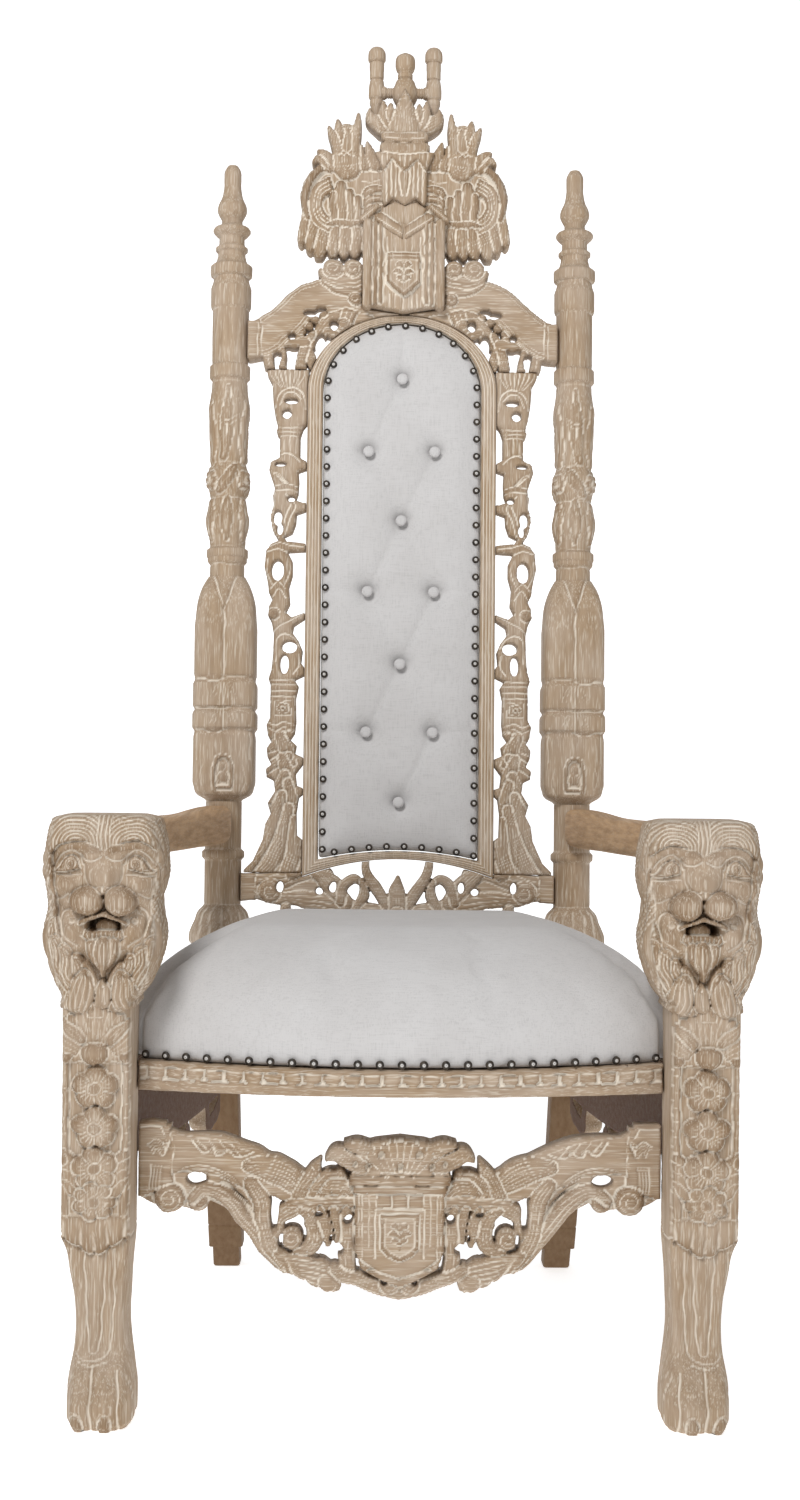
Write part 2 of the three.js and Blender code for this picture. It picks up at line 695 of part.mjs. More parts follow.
// Strokes of the right fret from the top down, [x, z, half width]
const FRET_STROKES = [
  [[166, 1298, 14], [183, 1366, 14]], // leafy capital
  [[164, 1298, 14], [152, 1366, 14]],
  [[180, 1248, 7], [182, 1280, 7], [178, 1308, 8]],
  [[148, 1248, 6], [147, 1280, 6], [152, 1308, 8]],
  [[163, 1262, 17], [162, 1212, 16], [166, 1190, 22], [164, 1154, 17]],
  [[176, 1166, 10], [184, 1120, 7], [172, 1070, 9]],
  [[155, 1166, 10], [134, 1138, 5]],
  [[155, 1140, 6], [153, 1115, 9], [169, 1070, 10]],
  [[167, 1068, 9], [133, 1084, 5]],
  [[182, 1080, 8], [187, 1045, 7], [172, 1010, 12]],
  [[160, 1080, 8], [154, 1046, 7], [170, 1010, 11]],
  [[172, 1010, 11], [178, 984, 9], [172, 956, 7]],
  [[176, 950, 8], [160, 978, 7], [131, 986, 6]],
  [[176, 966, 7], [178, 920, 7], [176, 876, 12]],
  [[171, 961, 7], [142, 930, 8], [157, 876, 11]],
  [[164, 892, 19], [164, 820, 17]],
  [[164, 828, 22], [163, 798, 19], [165, 780, 23], [161, 742, 17], [162, 721, 23], [160, 700, 19], [163, 671, 24],
    [173, 640, 29], [190, 600, 20]],
];

// Short tabs that tie the fret to the frame: [x, z, half width]
const FRET_TABS = [[150, 1215, 5], [150, 902, 5], [150, 777, 5], [150, 727, 5], [150, 628, 8]];

function fret() {
  const { front, back: rear, bottom, top } = FRET;
  const tabs = FRET_TABS.map(([x, z, w]) => block(FRAME.outer - 6, x, front + 3, rear, z - w, z + w));
  const body = join(strokes(FRET_STROKES, front, rear), tabs);
  const above = block(60, 240, front - 60, rear + 60, top, top + 80);
  const below = block(60, 240, front - 60, rear + 60, bottom - 80, bottom);
  return body.subtract(join(above, below)).subtract(frameClearance).subtract(postClearanceUpright);
}

addPair(backInner, 'fret', fret(), limedWood);

// Strokes of the right half of the lower rail
const LOWER_STROKES = [
  [[240, 594, 15], [192, 597, 17], [161, 608, 16], [129, 620, 16], [106, 612, 13]],
  [[186, 586, 15], [160, 574, 9], [120, 574, 14], [89, 568, 16], [51, 561, 12], [-6, 557, 11]],
  [[112, 614, 12], [72, 572, 14]],
  [[83, 577, 9], [66, 604, 7], [48, 598, 6]],
  [[14, 564, 10], [40, 606, 7], [48, 640, 6]],
];

function lowerRail() {
  const { front, back: rear } = LOWER_RAIL;
  const half = join(
    strokes(LOWER_STROKES, front, rear),
    disc(183, 588, 17, front - 4, rear, 8),
    disc(161, 561, 7, front, rear, 6),
    disc(0, 585, 16, front, rear, 6),
  );
  const above = block(-260, 260, front - 60, rear + 60, FRET.bottom - GAP, FRET.bottom + 60);
  const reach = FRAME.outer - 6;
  const middle = block(-reach, reach, front - 60, rear + 60, FRET.bottom - 8, FRET.bottom + 60);
  return bothSides(half).subtract(above.subtract(middle)).subtract(join(frameClearance, postClearanceUpright));
}

add(backInner, 'lower_back_rail', lowerRail(), limedWood);

// ---- Crest rail and crest --------------------------------------------------------------------------------

// The crest's city shield: a tall box with a shallow point at its foot.
const BOX = { half: 60, foot: 1440, point: 1431, head: 1558 };
const CREST_SEAT = 1512; // the mantlings stand on the rail's volutes here

function boxOutline(margin = 0) {
  const half = BOX.half + margin;
  return outline([[-half, BOX.head + margin], [-half, BOX.foot - margin], [0, BOX.point - margin],
    [half, BOX.foot - margin], [half, BOX.head + margin]]);
}

function crestRail() {
  const { front, back: rear } = CREST_RAIL;
  const shoulder = [[240, 1390, 29], [213, 1392, 29], [191, 1404, 27], [158, 1433, 26], [121, 1464, 27],
    [88, 1466, 24], [50, 1452, 22], [-6, 1444, 20]];
  const brackets = [
    [[146, 1344, 11], [120, 1410, 11], [100, 1430, 9]],
    [[173, 1344, 6], [182, 1396, 6]],
    [[192, 1344, 8], [199, 1380, 8]],
    [[140, 1386, 9], [184, 1386, 6]],
    [[84, 1460, 13], [78, 1438, 13], [90, 1412, 10]],
  ];
  const half = join(
    plate(stroke(shoulder), front, rear),
    strokes(brackets, front + 7, rear - 4),
    block(208, 240, front - 2, rear + 1, 1364, 1418),
    disc(103, 1495, 16, front - 8, rear, 7),
    disc(76, 1494, 14, front - 8, rear, 7),
    plate(stroke([[104, 1482, 12], [50, 1508, 18]]), front, rear),
  );
  const above = block(-260, 260, front - 60, rear + 60, CREST_SEAT, CREST_SEAT + 60);
  const below = block(-260, 260, front - 60, rear + 60, FRET.top - 60, FRET.top + GAP);
  const notch = plate(boxOutline(GAP), front - 60, rear + 60);
  const betweenPosts = block(-POST.centre + 14, POST.centre - 14, front - 60, rear + 60, FRET.top - 60, 1520);
  return bothSides(half).intersect(betweenPosts)
    .subtract(join(above, below))
    .subtract(notch)
    .subtract(frameClearance)
    .subtract(postClearanceUpright);
}

// Mantling: a lion-maned roundel with a scalloped lower edge and curling locks.
function mantling() {
  const { front, back: rear } = CREST;
  const centre = [92, 1582];
  const body = outline([[30, 1654], [96, 1653], [130, 1646], [150, 1622], [154, 1596], [149, 1542], [136, 1529],
    [126, 1506], [110, 1522], [92, 1506], [80, 1522], [70, 1500], [30, 1500]]);
  const rim = [[34, 1643, 8], [96, 1644, 9], [134, 1630, 9], [144, 1600, 8], [140, 1566, 5]];
  const parts = [plate(body, front, rear - 4), plate(stroke(rim), front - 9, rear - 10)];
  for (let i = 0; i < 2; i += 1) { // locks combed outwards and down
    const angle = Math.PI * (0.04 - i * 0.28);
    const at = (r, turn) => [centre[0] - 26 + r * Math.cos(angle + turn), centre[1] + 14 + r * Math.sin(angle + turn)];
    parts.push(plate(stroke([[...at(8, 0), 6], [...at(38, 0.18), 9], [...at(66, -0.05), 5]]), front - 7, rear - 10));
  }
  const plumes = [
    [[70, 1640, 16], [90, 1672, 15], [104, 1702, 6]],
    [[60, 1650, 16], [70, 1690, 16], [66, 1727, 4]],
    [[98, 1646, 10], [126, 1674, 5]],
  ];
  parts.push(strokes(plumes, front - 4, rear - 8, [1]));
  return join(parts).subtract(block(0, 260, front - 60, rear + 60, CREST_SEAT - 60, CREST_SEAT + GAP));
}

function crestMiddle() {
  const { front, back: rear } = CREST;
  const face = front - 12;
  const parts = [plate(boxOutline(), face, rear)];
  [-1, 1].forEach((side) => {
    parts.push(block(side * 43 - 7, side * 43 + 7, face - 5, face + 5, 1450, 1530)); // upright bars
    parts.push(plate(stroke([[side * 58, 1553, 5], [0, 1524, 5]]), face - 6, face + 5));
    parts.push(block(side * 46 - 18, side * 46 + 18, face + 4, rear - 6, 1556, 1590));
  });
  const inner = outline([[-25, 1514], [-25, 1474], [-16, 1460], [0, 1451], [16, 1460], [25, 1474], [25, 1514]]);
  parts.push(plate(inner, face - 9, face + 5));
  parts.push(block(-28, 28, face + 4, rear - 6, 1556, 1590));
  return parts;
}

// A member with scalloped flutes, such as the helm's skirt and the crown's band.
function fluted(x, y, levels, flutes) {
  const count = flutes * 2;
  return skin(levels.map(([z, radius]) => {
    const points = [];
    for (let k = 0; k < count; k += 1) {
      const angle = (k / count) * Math.PI * 2;
      const r = radius * (k % 2 === 0 ? 1 : 0.86);
      points.push(new THREE.Vector3(x + r * Math.cos(angle), y + 0.62 * r * Math.sin(angle), z));
    }
    return points;
  }));
}

function helmAndProngs() {
  const y = (CREST.front + CREST.back) / 2;
  const parts = [
    fluted(0, y, [[1586, 28], [1636, 36], [1643, 41], [1667, 41]], 5),
    fluted(0, y, [[1664, 24], [1706, 27]], 5),
    turned([[9, 1694], [9, 1744], [18, 1765], [10, 1788], [14, 1811], [6, 1825]], 0, y, 0, 6),
  ];
  [-1, 0, 1].forEach((i) => {
    const leaf = [[i * 14, 1698, 11], [i * 28, 1724, 13], [i * 44, 1757 - Math.abs(i) * 20, 4]];
    parts.push(plate(stroke(leaf), y - 17 + Math.abs(i) * 2, y + 14));
  });
  [-1, 1].forEach((side) => {
    const x = side * 42;
    parts.push(turned([[7, 1716], [10, 1754], [9, 1790], [13, 1820], [5, 1834]], x, y, 0, 5));
    parts.push(block(Math.min(0, x), Math.max(0, x), y - 8, y + 8, 1756, 1772)); // cross bar
  });
  return parts;
}

const crest = join(bothSides(mantling()), crestMiddle(), helmAndProngs());
const railBody = crestRail();

add(backInner, 'crest_rail', railBody, limedWood);
add(backInner, 'crest', crest, limedWood);

export default throne;
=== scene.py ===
"""A tall carved throne of limed wood: lion-headed front legs, turned rear posts, an arched and tufted back in a
pierced frame, a crowned crest and a domed linen seat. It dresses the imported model; +Z is up, the sitter faces -Y."""

import math

import bpy
import numpy as np
from mathutils import Matrix, Vector


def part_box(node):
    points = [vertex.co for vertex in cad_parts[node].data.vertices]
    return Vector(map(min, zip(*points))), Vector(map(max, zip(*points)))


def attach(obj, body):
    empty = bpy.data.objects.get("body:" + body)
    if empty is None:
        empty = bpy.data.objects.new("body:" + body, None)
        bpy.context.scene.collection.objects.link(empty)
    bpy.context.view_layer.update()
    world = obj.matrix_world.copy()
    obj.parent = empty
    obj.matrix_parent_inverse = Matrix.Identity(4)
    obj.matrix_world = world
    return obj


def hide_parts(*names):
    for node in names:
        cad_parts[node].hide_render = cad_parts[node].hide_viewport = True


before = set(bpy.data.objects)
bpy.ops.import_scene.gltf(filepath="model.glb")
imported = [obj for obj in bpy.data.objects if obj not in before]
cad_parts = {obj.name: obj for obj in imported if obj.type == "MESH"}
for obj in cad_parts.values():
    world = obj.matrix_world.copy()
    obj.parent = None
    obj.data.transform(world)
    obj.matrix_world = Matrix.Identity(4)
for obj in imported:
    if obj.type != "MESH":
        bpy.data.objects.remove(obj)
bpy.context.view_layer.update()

bl_info = {
    "name": "Carved throne",
    "version": (1, 0, 0),
    "blender": (4, 5, 0),
    "location": "View3D > Sidebar > Throne",
    "description": "Builds a carved throne round its packed solids",
    "category": "Add Mesh",
}

MM = 0.001
TAU = 2 * math.pi


def span(node):
    """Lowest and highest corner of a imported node, in millimetres."""
    low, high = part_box(node)
    return np.array(low) / MM, np.array(high) / MM


# ---- Where things are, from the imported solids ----

LEG_LOW, LEG_HIGH = span("front_leg_right")
POST_LOW, POST_HIGH = span("rear_post_right")
RAIL_HIGH = span("seat_rail_front")[1]
APRON_HIGH = span("front_apron")[1]
LEG_X = 358.5  # middle of a front leg's shaft
HEAD_X = (LEG_LOW[0] + LEG_HIGH[0]) / 2
POST_X = (POST_LOW[0] + POST_HIGH[0]) / 2
POST_Y = 168.0  # axis of the posts at the shoulder
SHOULDER = 450.0
LEAN = math.radians(3)


def reclined(points):
    """Points of the upright back, turned by the lean about the posts' axis at the shoulder."""
    y, z = points[..., 1] - POST_Y, points[..., 2] - SHOULDER
    out = points.copy()
    out[..., 1] = POST_Y + y * math.cos(LEAN) + z * math.sin(LEAN)
    out[..., 2] = SHOULDER - y * math.sin(LEAN) + z * math.cos(LEAN)
    return out


# ---- Settings ----


def colour(name, text, value):
    """A colour property, given as sRGB from 0 to 255 and kept linear."""
    c = np.array(value) / 255.0
    lin = np.where(c <= 0.04045, c / 12.92, ((c + 0.055) / 1.055) ** 2.4)
    return bpy.props.FloatVectorProperty(
        name=name, description=text, subtype="COLOR", size=3, min=0, max=1, default=[float(v) for v in lin])


def length(name, text, value):
    """A length property; the value is in millimetres and kept in metres."""
    return bpy.props.FloatProperty(name=name, description=text, default=value * MM, unit="LENGTH", subtype="DISTANCE")


class ThroneSettings(bpy.types.PropertyGroup):
    """Sizes and colours that a user would change."""

    carving_step: length("Carving step", "Distance between points of the carved boards", 1.9)
    nail_radius: length("Nail radius", "Radius of a nailhead", 5.0)
    nail_pitch: length("Nail pitch", "Distance from one nail to the next", 25.2)
    button_radius: length("Button radius", "Radius of a covered button", 8.0)
    tuft_depth: length("Tuft depth", "How far a button pulls the back's cloth in", 15.0)
    seat_voxel: length("Seat voxel", "Size of the seat's cells while it is inflated", 12.0)
    back_voxel: length("Back voxel", "Size of the back pad's cells while it is inflated", 7.5)
    pale: colour("Pale wood", "Bleached wood between the grooves", (175, 157, 138))
    honey: colour("Honey wood", "Warm wood where the finish is thin", (157, 133, 104))
    # this brown of bare wood also paints the shade in deep pits of the carving
    brown: colour("Brown wood", "Wood where the finish has worn off", (120, 95, 68))
    lime: colour("Lime", "Paste left in the grooves", (216, 206, 191))
    arm_brown: colour("Arm wood", "Plain stained wood of the arms", (184, 152, 117))
    # unfinished wood, its colour darkened to paint the shade on the inner faces under the seat
    raw_and_shade: colour("Raw wood", "Unfinished inner faces", (86, 58, 37))
    linen: colour("Linen", "Cloth of the seat and back", (200, 198, 197))


# ---- Lines and outlines in the plane of a carved face ----


def smooth(low, high, value):
    """0 below low, 1 above high, an S-curve between."""
    t = np.clip((value - low) / (high - low), 0, 1)
    return t * t * (3 - 2 * t)


def strand(phase):
    """A row of rounded ridges with a sharp groove at each whole number: 1 - (2 frac - 1)^2."""
    return 1 - (2 * (phase - np.floor(phase)) - 1) ** 2


def curve(points, count):
    """A smooth line through the points: the Catmull-Rom cubic, sampled evenly by number."""
    p = np.array(points, float)
    ends = np.vstack([2 * p[0] - p[1], p, 2 * p[-1] - p[-2]])
    t = np.linspace(0, len(p) - 1, count)
    i = np.minimum(t.astype(int), len(p) - 2)
    f = (t - i)[:, None]
    a, b, c, d = ends[i], ends[i + 1], ends[i + 2], ends[i + 3]
    return 0.5 * (2 * b + (c - a) * f + (2 * a - 5 * b + 4 * c - d) * f**2 + (3 * b - a - 3 * c + d) * f**3)


def sided(side, *points):
    """Points drawn for the right, on the right (1) or the left (-1)."""
    return [(side * x, *rest) for x, *rest in points]


def table(rows, at, column):
    """A column of a table of levels, read smoothly at heights: Catmull-Rom through (height, value), no overshoot."""
    rows = np.array(rows, float)
    x, y = rows[:, 0], rows[:, column]
    m = np.gradient(y, x)
    i = np.clip(np.searchsorted(x, at, side="right") - 1, 0, len(x) - 2)
    w = x[i + 1] - x[i]
    t = np.clip((at - x[i]) / w, 0, 1)
    value = ((1 + 2 * t) * (1 - t) ** 2 * y[i] + t * (1 - t) ** 2 * w * m[i]
             + t * t * (3 - 2 * t) * y[i + 1] + t * t * (t - 1) * w * m[i + 1])
    return np.clip(value, np.minimum(y[i], y[i + 1]), np.maximum(y[i], y[i + 1]))


def follow(line, X, Z):
    """For each cell: how far along the line, the signed distance beside it, and the half width there."""
    at = np.stack([X.ravel(), Z.ravel()], 1)
    a, b = line[:-1], line[1:]
    d = b[:, :2] - a[:, :2]
    size = (d**2).sum(1) + 1e-9
    runs = np.concatenate([[0], np.cumsum(np.sqrt(size))[:-1]])
    w = at[:, None, :] - a[None, :, :2]
    t = np.clip((w * d).sum(2) / size, 0, 1)
    off = np.hypot(w[..., 0] - t * d[:, 0], w[..., 1] - t * d[:, 1])
    half = a[:, 2] + t * (b[:, 2] - a[:, 2])
    k = (half - off).argmax(1)
    j = np.arange(len(at))
    side = np.sign(d[k, 0] * w[j, k, 1] - d[k, 1] * w[j, k, 0])
    along = runs[k] + t[j, k] * np.sqrt(size[k])
    return along.reshape(X.shape), (side * off[j, k]).reshape(X.shape), half[j, k].reshape(X.shape)


def walked(line):
    """How far a walk along a line has come at each of its points."""
    return np.concatenate([[0], np.cumsum(np.hypot(*np.diff(line, axis=0).T))])


def places_on(line, run, at):
    """The two coordinates of places on a line, after walks of the given lengths."""
    return np.interp(at, run, line[:, 0]), np.interp(at, run, line[:, 1])


def depth_inside(polygon, X, Z):
    """Distance to a polygon's edge, above 0 inside: nearest edge, signed by how many edges lie to the right."""
    p = np.array(polygon, float)
    ring = np.column_stack([np.vstack([p, p[:1]]), np.zeros(len(p) + 1)])
    off = np.abs(follow(ring, X, Z)[1])
    inside = np.zeros(X.shape, bool)
    for (x0, z0), (x1, z1) in zip(p, np.roll(p, -1, 0)):
        crosses = (z0 > Z) != (z1 > Z)
        inside ^= crosses & (X < (x1 - x0) * (Z - z0) / (z1 - z0 + 1e-12) + x0)
    return np.where(inside, off, -off)


def mean_near(a, reach):
    """Mean over a square of cells, run twice, by sums along each axis."""
    for _ in range(2):
        for axis in (0, 1):
            pad = [(0, 0), (0, 0)]
            pad[axis] = (reach + 1, reach)
            total = np.cumsum(np.pad(a, pad, mode="edge"), axis)
            n = a.shape[axis]
            high = np.take(total, np.arange(2 * reach + 1, n + 2 * reach + 1), axis)
            a = (high - np.take(total, np.arange(n), axis)) / (2 * reach + 1)
    return a


EVERYWHERE = (slice(None), slice(None))


class Face:
    """A flat carved face: heights in millimetres over a level grid, x across and z up, with its outline."""

    def __init__(self, x0, x1, z0, z1, step, ground=0.0, whole=False):
        self.step = step
        self.x = np.arange(x0, x1 + step / 2, step)
        self.z = np.arange(z0, z1 + step / 2, step)
        X, Z = np.meshgrid(self.x, self.z)
        # the carver's hand: forms waver by about a millimetre, in waves of 15 to 50 mm
        self.X = X + 0.55 * np.sin(Z / 5.3 + 1.4 * np.sin(X / 11)) + 0.5 * np.sin(Z / 8.1 - X / 14 + 1.1)
        self.Z = Z + 0.5 * np.sin(X / 4.9 + 1.7 * np.sin(Z / 12)) + 0.45 * np.sin(X / 9.3 + Z / 13 + 0.4)
        self.high = np.full(self.X.shape, float(ground))
        self.inside = np.full(self.X.shape, 50.0 if whole else -50.0)
        self.lime = self.worn_and_pit_shade = None

    def near(self, points, reach):
        """The slice of the grid round some points."""
        p = np.array(points, float)
        i = np.searchsorted(self.x, [p[:, 0].min() - reach, p[:, 0].max() + reach])
        j = np.searchsorted(self.z, [p[:, 1].min() - reach, p[:, 1].max() + reach])
        return slice(j[0], j[1]), slice(i[0], i[1])

    def lay(self, part, depth, high, cut=1.7, edge=1.2, outline=True):
        """Lays a form over what is there: its heights where depth is above 0, and a groove round its edge."""
        beside = np.exp(-((np.minimum(depth, 0) / edge) ** 2))
        self.high[part] = np.where(depth > 0, high, self.high[part] - cut * beside)
        if outline:
            self.inside[part] = np.maximum(self.inside[part], depth)

    def carve(self, points, rise=4.5, lift=0.0, lines=(), lobes=None, veins=None, hollow=0.0, full=2.2, **how):
        """A stroke that swells and narrows along a smooth line. Its section is rise (1 - v^full)^0.6 for v from 0 in
        the middle to 1 at the edge; lobes pinch its width, veins slant back from the middle, lines run along it."""
        rough = np.array(points, float)
        run = np.hypot(*np.diff(rough[:, :2], axis=0).T).sum()
        line = curve(points, int(np.clip(run / 3, 10, 60)))
        part = self.near(line, rough[:, 2].max() + 5)
        X, Z = self.X[part], self.Z[part]
        along, beside, half = follow(line, X, Z)
        half = np.maximum(half, 0.8)
        if lobes:
            half = half * (1 - lobes[1] * (0.5 + 0.5 * np.cos(TAU * along / lobes[0])) ** 2)
        v = np.abs(beside) / half
        high = lift + rise * np.clip(1 - v**full, 0, 1) ** 0.6 - hollow * np.clip(1 - (v / 0.72) ** 2, 0, 1)
        for at in lines:
            high = high - 1.6 * np.exp(-(((beside - at * half) / 1.15) ** 2))
        if veins:
            pitch, slant, deep = veins
            reach = smooth(0.08, 0.3, v) * (1 - smooth(0.8, 1.0, v))
            high = high - deep * reach * (1 - strand((along + slant * np.abs(beside)) / pitch))
        self.lay(part, half - np.abs(beside), high, **how)

    def comb(self, points, rise=4.0, lift=0.0, pitch=3.6, deep=1.4, wave=0.0, **how):
        """A lock or feather: a swelling stroke combed with grooves that keep to its length."""
        rough = np.array(points, float)
        line = curve(points, 24)
        part = self.near(line, rough[:, 2].max() + 5)
        along, beside, half = follow(line, self.X[part], self.Z[part])
        half = np.maximum(half, 0.8)
        v = np.abs(beside) / half
        shift = wave * np.sin(along / 6)
        widest = rough[:, 2].max()
        phase = (beside / half * widest + shift) / pitch + 0.5
        high = lift + rise * np.clip(1 - v**2.2, 0, 1) ** 0.6 - deep * (1 - strand(phase)) * (v < 0.97)
        self.lay(part, half - np.abs(beside), high, **how)

    def scratch(self, points, wide=1.1, deep=1.5, smoothly=True):
        """A groove of bell-shaped section along a line; a negative depth raises a bead."""
        flat = np.column_stack([np.array(points, float), np.zeros(len(points))])
        line = curve(flat, 8 * len(points)) if smoothly and len(points) > 2 else flat
        wide = max(wide, 0.7 * self.step)
        part = self.near(line, 4 * wide + 1)
        beside = follow(line, self.X[part], self.Z[part])[1]
        self.high[part] -= deep * np.exp(-((beside / wide) ** 2))

    def panel(self, polygon, rise=0.0, lift=0.0, bevel=2.0, **how):
        """A flat form with straight edges and a rounded bevel."""
        part = self.near(polygon, 5)
        depth = depth_inside(polygon, self.X[part], self.Z[part])
        high = lift + rise * (1 - (1 - np.clip(depth / bevel, 0, 1)) ** 2) ** 0.5
        self.lay(part, depth, high, **how)

    def swell(self, x, z, rx, rz, rise, firm=1.0):
        """Adds a soft mound: rise exp(-(r^2)^firm)."""
        r = ((self.X - x) / rx) ** 2 + ((self.Z - z) / rz) ** 2
        self.high += rise * np.exp(-(r**firm))

    def dome(self, x, z, rx, rz, rise, lift=0.0, **how):
        """A cut boss with a hard edge: an ellipsoid's cap."""
        part = self.near([(x - rx, z - rz), (x + rx, z + rz)], 4)
        r = np.hypot((self.X[part] - x) / rx, (self.Z[part] - z) / rz)
        self.lay(part, (1 - r) * min(rx, rz), lift + rise * np.sqrt(np.clip(1 - r**2.4, 0, 1)), **how)

    def volute(self, x, z, radius, hand=1, rise=4.0, lift=0.0, turns=1.6, start=0.0, **how):
        """A scroll's end: a round boss cut by a spiral groove that falls one pitch inwards in each turn."""
        part = self.near([(x - radius, z - radius), (x + radius, z + radius)], 4)
        dx, dz = self.X[part] - x, self.Z[part] - z
        r = np.hypot(dx, dz)
        turn = (hand * np.arctan2(dz, dx) / TAU + start) % 1
        pitch = radius / (turns + 0.6)
        wound = r / pitch - turn
        off = np.abs(wound - np.round(wound)) * pitch
        groove = np.exp(-((off / 0.95) ** 2)) * (r > pitch * 0.55) * (r < radius * 0.97)
        high = lift + rise * np.sqrt(np.clip(1 - (r / radius) ** 3, 0, 1)) + 1.5 * np.exp(-((r / pitch) ** 2))
        self.lay(part, radius - r, high - 1.7 * groove, **how)

    def flower(self, x, z, rx, rz, petals=5, rise=5.0, lift=0.0, lines=4, turn=0.0, boss=0.27, **how):
        """An open flower: the radius follows |cos| of the petals' angle, fine grooves fan out, a boss in the middle."""
        part = self.near([(x - rx, z - rz), (x + rx, z + rz)], 4)
        dx, dz = (self.X[part] - x) / rx, (self.Z[part] - z) / rz
        r, angle = np.hypot(dx, dz), np.arctan2(dz, dx) + turn
        lobe = np.abs(np.cos(petals * angle / 2))
        rim = 0.76 + 0.24 * lobe**0.7
        q = r / rim
        cup = 0.55 + 0.45 * np.sin(np.clip(q, 0, 1) * 2.2)
        high = lift + rise * cup * np.clip(1 - q**6, 0, 1) ** 0.5
        high -= 1.5 * np.exp(-((lobe / 0.16) ** 2)) * smooth(0.25, 0.5, r)
        fan = 0.5 - 0.5 * np.cos(petals * lines * angle)
        high -= 1.5 * (1 - fan) ** 2 * smooth(0.3, 0.42, r) * (1 - smooth(0.62, 0.86, q))
        core = r < boss
        high = np.where(core, lift + rise * 0.75 + 4.2 * np.sqrt(np.clip(1 - (r / boss) ** 2, 0, 1)), high)
        high -= 0.9 * np.exp(-(((r - boss) * rx / 1.0) ** 2))
        self.lay(part, (rim - r) * min(rx, rz), high, **how)

    def fan(self, x, z, hub, reach, spread, rays, rise=4.0, lift=0.0, flare=0.1, **how):
        """A shell: rays from a hub, each a rounded ridge, with a scalloped rim."""
        part = self.near([(x - reach, z - reach), (x + reach, z + reach)], 4)
        dx, dz = self.X[part] - x, self.Z[part] - z
        r, angle = np.hypot(dx, dz), np.arctan2(dx, dz)
        phase = (angle / spread + 1) / 2 * rays
        rim = reach * (1 - flare * (1 - strand(phase)))
        depth = np.minimum(np.minimum(rim - r, r - hub), (spread - np.abs(angle)) * r)
        high = lift + rise * smooth(hub, reach * 0.8, r) ** 0.5 - 1.5 * (1 - strand(phase)) ** 1.5
        self.lay(part, depth, high, **how)

    def hole(self, x, z, rx, rz, deep=12.0, through=True):
        """A pierced hole, or a dark pit where it isn't carried through."""
        r = np.hypot((self.X - x) / rx, (self.Z - z) / rz)
        gap = (r - 1) * min(rx, rz)
        if through:
            self.trim(gap)
        self.high -= deep * smooth(0.5, -2.0, gap)

    def holes(self, *places):
        """Several pierced holes, each given by its middle and its two radii."""
        for x, z, rx, rz in places:
            self.hole(x, z, rx, rz)

    def trim(self, depth):
        """Keeps only what lies where depth is above 0."""
        self.inside = np.minimum(self.inside, depth)

    def mirror(self):
        """Copies the right half onto the left."""
        for name in ("high", "inside"):
            a = getattr(self, name)
            setattr(self, name, np.where(self.X < 0, a[:, ::-1], a))

    def tone(self, fine=3.0, broad=12.0):
        """Marks where lime stays in the grooves, where the finish wears off ridges and high places, and the deep pits
        that take painted shade in the same brown.
        """
        held = (self.inside > 0).astype(float) + 1e-3

        def level(reach):
            cells = max(1, int(round(reach / self.step / 2)))
            return mean_near(self.high * held, cells) / mean_near(held, cells)

        close, wide = level(fine), level(broad)
        # painted shade: places well below their surroundings are darkened towards brown and kept free of lime
        pit = smooth(4.5, 9.0, wide - self.high)
        fade = 0.5 + 0.25 * np.sin(self.X / 6.1 + 2 * np.sin(self.Z / 9)) + 0.25 * np.sin(self.Z / 7.3 - self.X / 17)
        self.lime = np.clip((close - self.high) / 1.25, 0, 1) * (1 - pit) * (0.62 + 0.38 * fade)
        ridge = np.clip((self.high - close) / 1.4, 0, 0.8)
        # the second tone is real wear on ridges and high places together with the painted shade of the pits
        self.worn_and_pit_shade = np.clip(np.maximum(np.maximum((self.high - wide) / 3.0, ridge), pit), 0, 1)

    def read(self, name, x, z):
        """A value of the face at any place, between the four nearest cells."""
        a = getattr(self, name)
        u = np.clip((x - self.x[0]) / self.step, 0, len(self.x) - 1.001)
        v = np.clip((z - self.z[0]) / self.step, 0, len(self.z) - 1.001)
        i, j = u.astype(int), v.astype(int)
        p, q = u - i, v - j
        low = a[j, i] * (1 - p) + a[j, i + 1] * p
        return low * (1 - q) + (a[j + 1, i] * (1 - p) + a[j + 1, i + 1] * p) * q


# ---- Meshes ----


class Shape:
    """Points in millimetres with their faces, tones and material numbers, before they become an object."""

    def __init__(self, points, quads, tris=None, lime=None, worn_and_pit_shade=None, slots=None):
        self.points = np.asarray(points, float).reshape(-1, 3)
        n = len(self.points)
        self.quads = np.asarray(quads, int).reshape(-1, 4)
        self.tris = np.asarray(tris if tris is not None else [], int).reshape(-1, 3)
        self.lime = np.zeros(n) if lime is None else np.asarray(lime, float).ravel()
        self.worn_and_pit_shade = np.zeros(n) if worn_and_pit_shade is None else np.asarray(worn_and_pit_shade, float).ravel()
        faces = len(self.quads) + len(self.tris)
        self.slots = np.zeros(faces, int) if slots is None else np.asarray(slots, int)

    def mirrored(self):
        """The same shape on the other side of the chair, its faces turned to keep facing out."""
        flip = self.points * (-1, 1, 1)
        return Shape(flip, self.quads[:, ::-1], self.tris[:, ::-1], self.lime, self.worn_and_pit_shade, self.slots)

    def leaned(self):
        """The same shape on the reclined back."""
        return Shape(reclined(self.points), self.quads, self.tris, self.lime, self.worn_and_pit_shade, self.slots)


def both_sides(*shapes):
    """The names of the sides, each with its shapes: mirrored on the left, as they are on the right."""
    return ("left", *(s.mirrored() for s in shapes)), ("right", *shapes)


